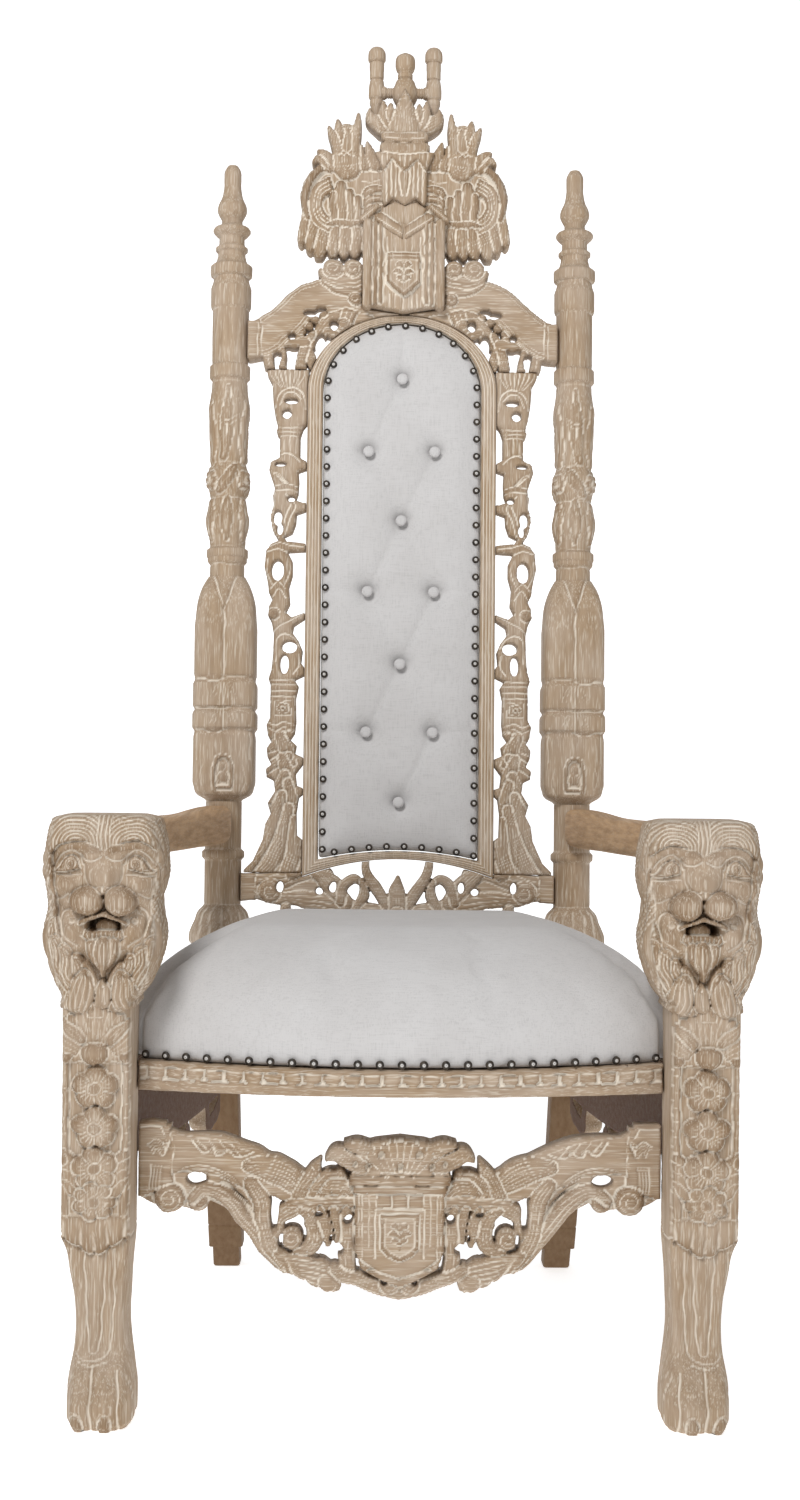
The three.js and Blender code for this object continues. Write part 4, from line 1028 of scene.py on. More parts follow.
def leg_side():
    """The side of a leg: border lines, a shallow panel and the long tendon below the knee."""
    f = Face(-392, -238, -4, 512, 2.0, whole=True)
    for y in (-344, -337, -271, -264):
        f.scratch([(y, 226), (y, 470)], 1.2, 1.3)
    for z in np.arange(240, 440, 18.0):
        f.scratch([(-349, z), (-338, z)], 0.9, 1.1)
    f.scratch([(-352, 224), (-300, 214), (-256, 224)], 1.8, 2.2)
    f.scratch([(-330, 206), (-318, 140), (-300, 88)], 2.0, 1.8)
    f.scratch([(-285, 206), (-284, 140), (-290, 84)], 2.0, 1.6)
    f.swell(-340, 28, 20, 34, 1.5, 1.6)
    f.swell(-300, 22, 18, 26, 1.5, 1.6)
    f.scratch([(-352, 62), (-344, 30), (-346, -4)], 1.9, 2.6)
    f.scratch([(-318, 50), (-316, 24), (-320, -4)], 1.9, 2.6)
    f.tone()
    return f


def lion_face():
    """The lion's face; x is measured outwards from the middle of the head."""
    f = Face(-80, 80, 482, 722, 1.05, whole=True)
    ax = np.abs(f.X)
    # broad forms: a heavy brow, sunken eyes, a wedge of a nose, cheeks and jaw
    f.swell(0, 655, 24, 34, 9, 2.0)
    f.swell(0, 636, 20, 20, 7, 1.4)
    f.swell(0, 676, 15, 10, 4, 1.3)
    f.swell(0, 566, 28, 14, 8, 1.4)
    for side in (-1, 1):
        f.swell(side * 30, 677, 24, 7.5, 9, 1.4)
        f.swell(side * 42, 656, 17, 10, -6, 1.6)
        f.swell(side * 45, 632, 15, 12, 7, 1.4)
        f.swell(side * 40, 573, 15, 20, 9, 1.5)
        f.swell(side * 49, 603, 13, 7, -4, 1.2)
        f.swell(side * 24, 540, 7, 14, -6, 1.4)
    # mane: strands that wave as they fall, round the bare oval of the face
    bare = table([(474, 4), (520, 8), (540, 22), (560, 41), (590, 53), (625, 57), (660, 62), (690, 62), (722, 62)],
                 f.Z.ravel(), 1).reshape(f.Z.shape)
    sway = 6.0 * np.sin(f.Z / 12.5 + 0.06 * ax) + 0.12 * (f.Z - 600)
    hair = strand((ax + sway) / 5.4)
    locks = strand((ax + 10 * np.sin(f.Z / 24) + f.Z * 0.2) / 19.0)
    f.lay(EVERYWHERE, ax - bare, 3.0 + 5.0 * locks + 2.8 * hair, cut=3.0, edge=2.0)
    # locks that fall below the jaw and part under the beard
    for side in (-1, 1):
        for lock in (
            sided(side, (64, 590, 7), (62, 562, 11), (54, 534, 10), (46, 516, 3)),
            sided(side, (56, 566, 8), (51, 540, 11), (40, 518, 9), (33, 506, 3)),
            sided(side, (44, 556, 8), (39, 532, 11), (27, 510, 9), (20, 498, 3)),
            sided(side, (31, 548, 6), (26, 530, 9), (14, 512, 8), (7, 500, 3)),
            sided(side, (20, 538, 5), (14, 524, 7), (6, 510, 6), (2, 496, 3)),
        ):
            f.comb(lock, 7.0, 2.0, 4.8, 2.4, 2.0, cut=3.2)
    # two broad leaf-like ends of the mane with an arched top, a peak of hair between them
    f.carve([(0, 520, 3), (0, 508, 9), (0, 497, 10)], 6.0, 3.5, (0,), cut=3.0)
    for side in (-1, 1):
        f.comb(sided(side, (22, 530, 5), (23, 519, 12), (25, 503, 15), (29, 490, 13), (33, 484, 6)), 7.5, 4.5, 6.6, 2.2,
               1.2, cut=4.5)
        f.scratch(sided(side, (9, 500), (12, 518), (23, 529), (36, 519), (41, 502)), 1.3, -2.4)
        f.scratch(sided(side, (3, 528), (1, 514)), 1.3, 2.5)
    # eyes: a three-cornered almond under a lid, a ringed pupil towards the nose, a long outer corner
    for side in (-1, 1):
        eye = sided(side, (27, 651), (30, 661), (37, 667), (45, 664), (53, 653), (60, 647))
        f.panel(eye[::side], 2.5, 3.5, 3.0, cut=2.5)
        f.scratch([(x, z + 1.2) for x, z in eye], 1.3, -2.0)
        f.scratch(sided(side, (26, 650), (42, 648.5), (54, 648), (66, 642)), 1.25, -1.8)
        f.scratch(sided(side, (24, 656), (29, 667), (38, 673), (49, 668), (60, 653)), 1.3, 2.8)
        f.scratch(sided(side, (25, 645), (42, 643.5), (56, 643)), 1.4, 2.4)
        turn = np.linspace(0, TAU, 14)
        f.scratch(np.column_stack([side * 38 + 6.2 * np.cos(turn), 657 + 6.2 * np.sin(turn)]), 1.0, 2.6)
        f.dome(side * 38, 657, 2.8, 2.8, 2.0, 6.5, cut=1.0)
        f.scratch(sided(side, (47, 661), (46, 651), (54, 651)), 1.0, 1.8, False)
        # root of the nose and folds of the cheek
        f.scratch(sided(side, (3, 665.5), (12, 661.5), (22, 662), (28, 668)), 1.3, 2.8)
        f.scratch(sided(side, (22, 656), (21, 640), (16, 628), (12, 622)), 1.8, 2.6)
        f.scratch(sided(side, (41, 622), (52, 616), (62, 624), (66, 640)), 1.5, 2.6)
        f.scratch(sided(side, (38, 606), (48, 600), (50, 586), (44, 572), (30, 562)), 1.8, 3.2)
        f.scratch(sided(side, (50, 560), (36, 551), (24, 549)), 1.5, 2.8)
        f.dome(side * 36, 590, 5.5, 4.0, -5.0, 6.0, cut=1.0)
    # muzzle lobes over the lip
    f.dome(0, 626, 9, 5, 3, 13.0, cut=1.2)
    for side in (-1, 1):
        f.dome(side * 19.5, 614, 19.5, 17, 11, 8.5, cut=3.2)
        for k in (-2, -1, 0, 1, 2):
            x = side * (19.5 + 5.0 * k)
            f.scratch([(x, 603 + abs(k)), (x + side * k * 0.5, 611), (x + side * k * 0.8, 619 - abs(k))], 0.9, 1.3)
    f.scratch([(0, 630), (0, 599)], 1.5, 4.0)
    # mouth: an arched upper lip, a dark gape with the tongue in it, and a row of lower teeth
    lip = 598.0 - 0.012 * f.X**2 + 1.5 * np.exp(-((ax / 7) ** 2))
    gape = np.minimum(lip - 4.0 - f.Z, f.Z - (579 + 0.004 * f.X**2))
    gape = np.minimum(gape, (19 - ax) * 0.8)
    f.high -= 34 * smooth(-0.6, 2.6, gape)
    off = np.abs(f.Z - lip + 1.0)
    f.lay(EVERYWHERE, np.where(off < 12, 2.6 - off, -9) - np.maximum(ax - 27, 0), 16.0 - 0.012 * f.X**2, cut=1.0)
    f.dome(-3, 583, 13, 9.5, 9, -6.0, cut=0.5)
    f.panel([(-21, 580), (-24, 573), (-17, 567), (17, 567), (24, 573), (21, 580)], 2, 7.0, cut=2.0)
    for k in range(-3, 4):
        f.dome(k * 5.2, 576, 2.6, 4.4, 3.6, 8.0, cut=2.0)
    f.scratch([(-27, 573), (-15, 565.5), (0, 563.5), (15, 565.5), (27, 573)], 1.3, 2.6)
    # goatee
    for side in (-1, 1):
        f.comb(sided(side, (13, 564, 7), (10, 550, 6), (4, 535, 2)), 6.0, 7.0, 4.2, 2.0)
    f.comb([(0, 564, 9), (0, 548, 8.5), (-1, 527, 2)], 8.0, 9.0, 4.6, 2.2, cut=3.0)
    # fringe: two rainbow arches over the eyes, upright strands between them, a scalloped edge
    line = 681.5 + 3.4 * np.cos((ax - 33) / 9.5) - 5.5 * np.exp(-((f.X / 6) ** 2)) - 16 * smooth(50, 72, ax)
    r = np.hypot(ax - 33, (f.Z - 680) * 1.08)
    phase = np.where(ax < 8, ax / 4.3 + 0.35, r / 4.4 - 0.1 + 0.10 * np.sin(f.Z / 5))
    tilt = 0.09 * np.maximum(f.Z - 684, 0)
    f.lay(EVERYWHERE, f.Z - line, 6.0 + 3.2 * strand(phase) - tilt, cut=4.0, edge=2.0)
    f.tone()
    return f


def lion_side():
    """The side of the head: waved strands of mane, combed back from the face and down."""
    f = Face(-392, -232, 482, 722, 1.6, whole=True)
    back = f.X + 380
    phase = (back * 0.55 + 7 * np.sin(f.Z / 17 + back / 22) + (f.Z - 600) * 0.24) / 5.2
    locks = strand((back + 12 * np.sin(f.Z / 36) + f.Z * 0.3) / 23.0)
    f.high += 2.8 * strand(phase) + 5.0 * locks - 4.0
    f.high *= 1 - smooth(705, 716, f.Z) * 0.5
    f.tone()
    return f


class THRONE_OT_front_legs(bpy.types.Operator):
    """Carves the front legs: paw, flowered shaft and lion's head"""

    bl_idname = "throne.front_legs"
    bl_label = "Front legs"

    def execute(self, context):
        wood = finishes()["limed_upright"]
        leg = pillar(LEG_LEVELS, heights_for(LEG_LEVELS, 2.0), (54, 16, 8), leg_face(), leg_side(), LEG_X)
        head = pillar(HEAD_LEVELS, heights_for(HEAD_LEVELS, 1.55), (104, 30, 8), lion_face(), lion_side(), HEAD_X)
        for side, l, h in both_sides(leg, head):
            build(f"paw_leg_{side}", l, wood, [f"front_leg_{side}"])
            build(f"lion_head_{side}", h, wood, [f"front_leg_{side}"])
        return {"FINISHED"}


# ---- Rear posts ----

POST_LOWER = [(440, 25), (500, 26), (508, 40), (514, 47), (522, 48), (545, 40), (560, 34), (566, 28), (570, 26.5),
              (632, 27), (636, 30.5), (644, 30.5), (648, 27), (700, 26), (716, 26)]
POST_UPPER = [
    (1036, 25), (1062, 26), (1066, 28.5), (1071, 28.5), (1073, 30), (1083, 30), (1086, 26), (1098, 26), (1112, 29),
    (1128, 30.5), (1140, 28), (1158, 26), (1166, 27), (1176, 29.5), (1196, 29.5), (1206, 26), (1240, 26.5), (1270, 28),
    (1292, 30), (1310, 27.5), (1326, 26), (1334, 26.5), (1337, 29.5), (1354, 29.5), (1357, 26.5), (1438, 27),
    (1441, 29), (1470, 29.5), (1482, 26), (1486, 26), (1489, 30), (1503, 30.5), (1508, 24), (1516, 21), (1524, 20),
    (1527, 23.5), (1531, 23.5), (1534, 19.5), (1546, 18.5), (1550, 23), (1556, 27.5), (1561, 25), (1565, 17),
    (1572, 15), (1578, 18), (1586, 21.5), (1596, 20), (1606, 15.5), (1622, 12.5), (1650, 10.3), (1655, 7),
]
BLOCK_LEVELS = [
    (710, 228, 278, 148, 188, 3.0), (719, 226, 280, 146, 190, 3.5), (725, 216, 290, 136, 200, 4.5),
    (738, 210, 296, 132, 205, 5.5), (775, 208.5, 297.5, 131, 206, 5.5), (811, 209, 297, 131, 205, 5.5),
    (817, 210, 296, 132, 204, 5.5), (823, 206.5, 299, 127, 208, 5.5), (844, 207, 298.5, 128, 208, 5.5),
    (849, 210, 296, 131, 205, 5.5), (854, 207, 298.5, 128, 208, 5.5), (886, 207.5, 298.5, 128, 207, 5.5),
    (892, 210, 296, 131, 205, 5.5), (900, 208.5, 297.5, 129, 206, 5.5), (980, 209.5, 296.5, 130, 205, 5.5),
    (1012, 213, 292.5, 133, 202, 4.5), (1030, 219, 287, 139, 196, 3.2), (1043, 226, 280, 145, 191, 2.4),
]


def block_face():
    """The fat block: a V over a centre line, three banded folds and a small arched niche."""
    f = Face(-52, 52, 700, 1052, 1.3, whole=True)
    f.scratch([(-17, 1046), (0, 996)], 1.4, 2.6)
    f.scratch([(19, 1046), (1, 996)], 1.4, 2.6)
    f.high += 1.8 * smooth(0, 3, (f.Z - 996) * 0.36 - np.abs(f.X) + 0.5)
    f.scratch([(0, 997), (0, 894)], 1.4, 2.8)
    for x in (-20, 20):
        f.swell(x, 950, 17, 44, 1.8, 2)
    for z, sag in ((893, 3.5), (851, 2.0), (819, 4.0)):
        f.scratch([(-48, z - 1), (-30, z + 1), (-10, z + sag * 0.4), (0, z - 1), (12, z - sag), (30, z - 1), (48, z)],
                  1.5, 2.8)
    for z in (872, 835):
        f.scratch([(0, z - 17), (0, z + 17)], 1.0, 2.0)
        for k in (-3, -2, -1, 1, 2, 3):
            f.scratch([(k * 3.0, z + 15), (k * 6.5, z - 8)], 0.9, 1.2)
    for side in (-1, 1):
        f.scratch(sided(side, (38, 824), (38, 776)), 1.2, 1.6)
        f.scratch(sided(side, (29, 770), (32, 745), (26, 722)), 1.2, 1.2)
    f.panel([(-15, 733), (-15, 768), (-11, 779), (0, 785), (11, 779), (15, 768), (15, 733)], 1.6, 0.6, 1.5, cut=2.2)
    f.panel([(-10, 738), (-10, 766), (-7, 775), (0, 779), (7, 775), (10, 766), (10, 738)], 0, -3.2, 1.5, cut=1.0)
    f.dome(-1, 751, 7, 9, 3.5, -3.0, cut=0.8)
    f.dome(2, 766, 5, 6, 2.5, -3.0, cut=0.8)
    f.tone(3, 14)
    return f


def post_face():
    """The upper post, unrolled: pods, a band of flowers, a pointed leaf with crossed bands."""
    f = Face(-86, 86, 430, 1662, 1.6, whole=True)
    around = np.arange(-3, 4) * 27.2
    for x in around[::2]:
        f.carve([(x, 1152, 6), (x, 1125, 9), (x, 1098, 4)], 3.0, 0.5, (0,), outline=False)
        f.flower(x, 1184, 14, 15, 6, 3.4, 0.5, 3, outline=False)
        f.carve([(x, 1212, 6), (x, 1250, 10), (x, 1300, 2)], 2.6, 0.4, (0,), outline=False)
    for x in around[1::2]:
        f.carve([(x, 1156, 5), (x, 1130, 8), (x, 1096, 3)], 2.6, 0.2, (0,), None, (5, 0.8, 0.7), outline=False)
        f.carve([(x - 12, 1166, 5), (x, 1184, 8), (x + 10, 1204, 4)], 2.8, 0.4, (0,), None, (4, 0.6, 0.8),
                outline=False)
        f.carve([(x - 6, 1216, 6), (x - 2, 1256, 9), (x, 1322, 2)], 2.4, 0.0, (0,), None, (7, 0.9, 0.8), outline=False)
        for z in (1272, 1279):
            f.scratch([(x - 13, z), (x, z - 10), (x + 13, z)], 1.0, 1.5)
    for k in range(-3, 4):
        f.swell(k * 27.2, 1116, 3.0, 11, -1.8, 1.5)
    for z in (1061, 1088, 1158, 1210, 1331, 1358, 1439, 1485, 633, 647, 568):
        f.high -= 1.1 * np.exp(-(((f.Z - z) / 1.4) ** 2))
    for k in range(-8, 9):
        f.scratch([(k * 9.6, 563), (k * 10.0, 540), (k * 10.3, 512)], 1.2, 2.0)
    f.high += 0.25 * np.sin(f.X * 0.9 + np.sin(f.Z / 40) * 4)
    f.tone(3, 12)
    return f


class THRONE_OT_rear_posts(bpy.types.Operator):
    """Makes the rear posts: a swept leg, turned and carved work and a fat carved block"""

    bl_idname = "throne.rear_posts"
    bl_label = "Rear posts"

    def execute(self, context):
        mats = finishes()
        face, blank = post_face(), Face(120, 216, 700, 1052, 8, whole=True)
        blank.tone()
        lower = turning(POST_LOWER, heights_for(POST_LOWER, 4.0), POST_X, POST_Y, 66, face)
        upper = turning(POST_UPPER, heights_for(POST_UPPER, 3.0), POST_X, POST_Y, 66, face)
        mid = (BLOCK_LEVELS[4][1] + BLOCK_LEVELS[4][2]) / 2  # where the block is broadest
        fat = pillar(BLOCK_LEVELS, heights_for(BLOCK_LEVELS, 3.2), (44, 18, 12), block_face(), blank, mid)
        post = together([lower, upper, fat]).leaned()
        foot_y = POST_HIGH[1] - 25
        z = np.unique(np.concatenate([np.linspace(0, 452, 40), [2.5, 33, 35, 36, 72, 74, 76]]))
        sweep = POST_Y + (foot_y - POST_Y) * (np.maximum(0, SHOULDER - z) / SHOULDER) ** 1.5
        half = 25.5 - 5.2 * (z < 35.5) - 1.0 * (np.abs(z - 74) < 1) - 1.5 * (z < 2)
        levels = np.column_stack([z, POST_X - half, POST_X + half, sweep - half - 1.5 * (z < 35.5),
                                  sweep + half + 1.0 * (z < 35.5), np.full(len(z), 12)])
        flat = Face(-60, 60, -4, 460, 8, whole=True)
        flat.tone()
        across = Face(100, 420, -4, 460, 8, whole=True)
        across.tone()
        leg = pillar(levels, z, (10, 10, 10), flat, across, POST_X)
        for side, up, down in both_sides(post, leg):
            build(f"carved_post_{side}", up, mats["limed_upright"], [f"rear_post_{side}"], sharp=50)
            # below the seat the legs take darker brown wood as painted shade
            build(f"swept_leg_{side}", down, mats["brown_wood_painted_shade"], [f"rear_post_{side}"], 40)
        return {"FINISHED"}


# ---- Arms ----


class THRONE_OT_arms(bpy.types.Operator):
    """Makes the arms: a plain rounded bar that swells into a heel at the post"""

    bl_idname = "throne.arms"
    bl_label = "Arms"

    def execute(self, context):
        # share of the length, underside, top, half width
        levels = [(0, 657, 705, 25.5), (0.3, 658, 705, 25.5), (0.66, 658, 706, 25.5), (0.8, 657, 709.5, 25),
                  (0.9, 657, 711, 24.5), (0.97, 659, 711, 23), (1.0, 664, 709, 19)]
        share = np.linspace(0, 1, 90)
        low, high, half = (table(levels, share, k)[:, None] for k in (1, 2, 3))
        start = np.array([HEAD_X, -251.0])
        end = np.array([POST_X + 6, 162.0])
        way = (end - start) / np.linalg.norm(end - start)
        angle = np.arange(56) / 56 * TAU
        u, v = (np.sign(a) * np.abs(a) ** 0.5 for a in (np.cos(angle), np.sin(angle)))
        centre = start + share[:, None] * (end - start)
        side = half * u
        sag = 1.2 * np.sin(share * math.pi)[:, None]
        P = np.stack([centre[:, :1] - way[1] * side, centre[:, 1:] + way[0] * side,
                      (low + high) / 2 + (high - low) / 2 * v - sag], -1)
        arm = skin(P[:, ::-1])
        wood = finishes()["arm_wood"]
        for name, shape in both_sides(arm):
            build(f"arm_rest_{name}", shape, wood, [f"arm_{name}"])
        return {"FINISHED"}


# ---- Seat rails and side aprons ----

BOW = 52.0  # how far the front rail bows out in its middle
DENTIL_PITCH, DENTIL_HALF, DENTIL_CUT = 23.5, 10.4, 3.5


def bowed(points):
    """Points of the flat front rail, bowed outwards: by the bow in the middle, by nothing at the legs' middles."""
    out = points.copy()
    ends = (points[:, 0] / LEG_X) ** 2
    out[:, 1] -= BOW * (1 - ends)
    out[:, 2] += 5.5 * ends * np.clip((points[:, 2] - 394) / 20, 0, 1)
    return out


def rail_face(x0, x1, low=378.0):
    """A rail: a plain band, a row of low dentils with rounded feet, and a thin lip on top."""
    high = RAIL_HIGH[2]
    band = low + 0.42 * (high - low)
    f = Face(x0 - 1, x1 + 1, low - 1, high + 1, 2.0)
    f.panel([(x0, low), (x1, low), (x1, high), (x0, high)])
    f.high = np.where(f.Z > band, f.high - 4.0, f.high)
    f.high = np.where(f.Z > high - 5, 0.6, f.high)
    f.scratch([(x0, band - 3), (x1, band - 3)], 0.9, 0.8)
    middle = (x0 + x1) / 2
    a, b = DENTIL_HALF, DENTIL_CUT
    for k in range(int((x1 - x0) / DENTIL_PITCH / 2) + 1):
        for x in {middle + (k + 0.5) * DENTIL_PITCH, middle - (k + 0.5) * DENTIL_PITCH}:
            if x0 + 8 < x < x1 - 8:
                f.panel([(x - a, high - 5.6), (x - a, band + 1 + b), (x - a + b, band + 1), (x + a - b, band + 1),
                         (x + a, band + 1 + b), (x + a, high - 5.6)], 1.6, -2.4, 2.6, cut=0.9, outline=False)
                f.scratch([(x - a + 3, band + 6), (x + a - 3, band + 6)], 0.9, 0.6)
    return f


def turned_out(theta, x, y):
    """A map for a board at the chair's right side: u runs back along the side, and the face looks outwards."""
    c, s = math.cos(theta), math.sin(theta)

    def warp(points):
        out = points.copy()
        out[:, 0] = x + points[:, 0] * c - points[:, 1] * s
        out[:, 1] = y + points[:, 0] * s + points[:, 1] * c
        return out

    return warp


class THRONE_OT_seat_rails(bpy.types.Operator):
    """Makes the seat frame: a bowed front rail, slanting side rails and a rear rail, all with dentils"""

    bl_idname = "throne.seat_rails"
    bl_label = "Seat rails"

    def execute(self, context):
        mats = finishes()
        # the rails' inner faces take raw wood darkened as painted shade
        woods = [mats["limed_level"], mats["raw_wood_painted_shade"]]
        half = RAIL_HIGH[0] - 0.5
        front = board(rail_face(-half, half, 383.0), -283, -253, 2, bowed, 1)
        build("dentil_rail", front, woods, ["seat_rail_front"])
        start, end = np.array([353.0, -258.0]), np.array([271.0, 150.0])
        run = np.hypot(*(end - start))
        theta = math.atan2(*(end - start)[::-1])
        side = board(rail_face(4, run - 12), 0, 27, 2, turned_out(theta, *start), 1)
        for name, shape in both_sides(side):
            build(f"dentil_rail_{name}", shape, [mats["limed_along"], mats["raw_wood_painted_shade"]], [f"seat_rail_{name}"])
        rear = board(rail_face(-226, 226), -14, 14, 2, turned_out(math.pi, 0, POST_Y), 1)
        build("dentil_rail_rear", rear, woods, ["seat_rail_rear"])
        return {"FINISHED"}


SIDE_RUN = 452.0  # along a side apron, from the front leg's back to the post


def side_apron_face():
    """A deep scrolled board under a side rail: a veined body and two scrolls that meet over an opening."""
    f = Face(-8, SIDE_RUN, 246, 380, 2.8)
    f.carve([(-30, 338, 39), (100, 336, 41), (200, 334, 43), (330, 336, 41), (430, 342, 36), (470, 344, 34)], 4, 0, (),
            full=6)
    f.carve([(-20, 352, 12), (80, 348, 14), (200, 346, 15), (320, 348, 14), (440, 354, 12)], 4.5, 2, (-0.4, 0.1, 0.5),
            (52, 0.16), (13, 0.9, 1.2))
    for way in (
        [(60, 308, 16), (96, 296, 16), (130, 282, 15), (162, 271, 14), (190, 266, 14), (220, 268, 13), (240, 274, 11)],
        [(430, 312, 16), (406, 294, 14), (382, 278, 13), (362, 271, 12), (345, 268, 11), (337, 284, 10),
         (334, 300, 10)],
    ):
        f.carve(way, 5, 2, (-0.35, 0.35), (24, 0.14), (9, 0.8, 1.1))
    f.volute(240, 276, 13, -1, 5, 3)
    f.volute(340, 272, 12, 1, 5, 3)
    f.panel([(-12, 377), (SIDE_RUN + 6, 377), (SIDE_RUN + 6, 369), (-12, 369)], 1, 3, 1.5)
    f.trim(377.6 - f.Z)
    return f


class THRONE_OT_side_aprons(bpy.types.Operator):
    """Carves the scrolled boards under the side rails"""

    bl_idname = "throne.side_aprons"
    bl_label = "Side aprons"

    def execute(self, context):
        mats = finishes()
        start, end = np.array([336.0, -257.5]), np.array([POST_X, POST_Y])
        theta = math.atan2(*(end - start)[::-1])
        face = side_apron_face()
        face.trim(np.minimum(face.X - 1, 402 - face.X))
        side = board(face, -9, 9, 2.5, turned_out(theta, *start), 1)
        for name, shape in both_sides(side):
            # the aprons' inner faces take raw wood darkened as painted shade
            build(f"carved_side_apron_{name}", shape, [mats["limed_along"], mats["raw_wood_painted_shade"]], [f"side_apron_{name}"])
        return {"FINISHED"}


# ---- Front apron ----

APRON_FRONT = -279.0  # ground of the apron's carving


def apron_face(step):
    """The front apron, right half first: end blocks with scrolls, an arch of leaves, a crowned shield."""
    f = Face(-322, 322, 122, 350, step)
    # ground behind the scrolls and the strap, left deep so that it reads as shadow
    f.panel([(322, 257), (304, 246), (290, 239), (275, 236), (262, 239), (250, 237), (238, 238), (229, 246), (212, 237),
             (196, 224), (176, 200), (152, 172), (136, 172), (141, 190), (150, 215), (166, 238), (182, 262), (205, 280),
             (240, 296), (322, 300)], 1.0, -1.0, 2)
    # the arch itself, plain and broad
    f.carve([(334, 302, 36), (300, 306, 32), (270, 305, 23), (245, 304.5, 24), (215, 302, 24), (190, 291, 26),
             (165, 281, 24), (140, 271, 23), (118, 262, 20), (95, 256, 18), (70, 250, 16), (50, 244, 12)], 4, 0, full=5)
    for rise in (0, 4.2):
        f.scratch([(262, 282 + rise), (245, 285 + rise), (228, 284 + rise), (210, 276 + rise), (196, 264 + rise),
                   (184, 248 + rise)], 1.2, 2.2)
    # end block and its scrolls
    f.panel([(322, 342), (284, 342), (283, 338), (277.5, 338), (275, 322), (275, 262), (322, 250)], 1.5, 3.0, 2.5)
    f.scratch([(318, 337), (289, 337), (286, 330), (283, 326)], 1.1, 1.7, False)
    for k in range(4):
        d = 4.0 * k
        f.scratch([(304 - d * 0.6, 316 - d), (294, 322 - d), (284 + d * 0.3, 315 - d), (278 + d * 0.5, 318 - d),
                   (276 + d * 0.8, 328 - d)], 1.15, 2.0)
        f.scratch([(300 - d, 290), (302 - d, 270), (299 - d * 0.9, 252 + d * 0.4), (291 - d * 0.6, 240 + d)], 1.2, 2.0)
    f.volute(278, 250, 18.0, 1, 7, 3.0, 2.0, 0.25)
    f.volute(243.5, 248, 12.6, -1, 6.5, 2.5, 1.5, 0.1)
    # strap that sweeps from the scrolls down to the lower leaf
    f.carve([(250, 250, 7), (236, 261, 8), (220, 258, 9.5), (200, 243, 11.5), (182, 221, 12), (166, 200, 11),
             (148, 178, 10.5), (136, 168, 8)], 5, 1.0, (-0.45, 0.05, 0.5))
    for shift in (0, 5, 10):
        f.scratch([(216 - shift, 270 - shift), (203 - shift, 263 - shift), (191 - shift, 250 - shift),
                   (181 - shift * 0.7, 234 - shift)], 1.7, 4.6 - 0.2 * shift)
    # column beside the tall opening
    f.carve([(180, 268, 9), (168, 250, 11), (164, 228, 10), (160, 206, 10), (150, 186, 9), (140, 172, 7)], 5, 3.0,
            (-0.5, -0.1, 0.35))
    # leaf cut into the arch: a line above, a wavy edge below and slanting veins
    f.scratch([(257, 326), (240, 324), (215, 319), (195, 312), (178, 306)], 1.1, 1.3)
    f.scratch([(251, 321), (245, 312), (239, 305), (232, 306), (226, 311), (221, 303), (213, 304), (207, 309),
               (201, 302), (190, 302), (180, 305)], 1.3, 2.4)
    for k in range(4):
        x, z = 244 - 13.5 * k, 321.5 - 1.6 * k**1.3
        f.scratch([(x, z), (x - 6, z - 7), (x - 11, z - 13)], 1.15, 1.7)
        f.swell(x - 2, z - 8, 5, 6, 1.5)
    # fan of long veins that breaks into three tips along the upper edge
    f.comb([(182, 290, 9), (160, 288, 15), (140, 280, 17), (122, 268, 12), (108, 256, 5)], 4.5, 2.6, 4.6, 2.0)
    f.comb([(124, 246, 7), (114, 264, 11), (105, 280, 10), (97, 297, 3)], 5, 4.0, 4.4, 1.9)
    f.comb([(104, 250, 7), (98, 266, 10), (86, 275, 11), (74, 276, 10), (71, 286, 4)], 5, 4.4, 4.2, 1.8)
    f.comb([(94, 256, 7), (82, 266, 10), (68, 264, 12), (58, 254, 9), (54, 244, 4)], 5, 5.0, 4.2, 1.9)
    # broad scroll that turns down round the middle opening
    f.comb([(52, 248, 6), (78, 247, 9), (106, 243, 10), (130, 240, 10.5), (145, 228, 9), (146, 212, 7), (141, 200, 4)],
           5.5, 4.6, 4.6, 1.8)
    f.comb([(121, 238, 5), (110, 230, 8.5), (103, 214, 10.5), (104, 198, 10), (114, 189, 8), (126, 188, 4)], 5.5, 5.2,
           4.4, 1.8)
    f.volute(129.6, 203.3, 13.5, 1, 7, 4.5, 1.9)
    # upright strokes beside the shield
    f.comb([(96, 240, 4), (91, 226, 7), (88, 210, 7), (86, 196, 4)], 5, 4.0, 3.8, 1.6)
    f.comb([(80, 240, 5), (75, 226, 7.5), (73, 210, 7), (76, 198, 3.5)], 5, 3.6, 3.8, 1.6)
    f.comb([(66, 240, 5), (62, 218, 9), (64, 194, 10), (63, 172, 10), (56, 156, 6)], 5, 2.6, 4.4, 1.5)
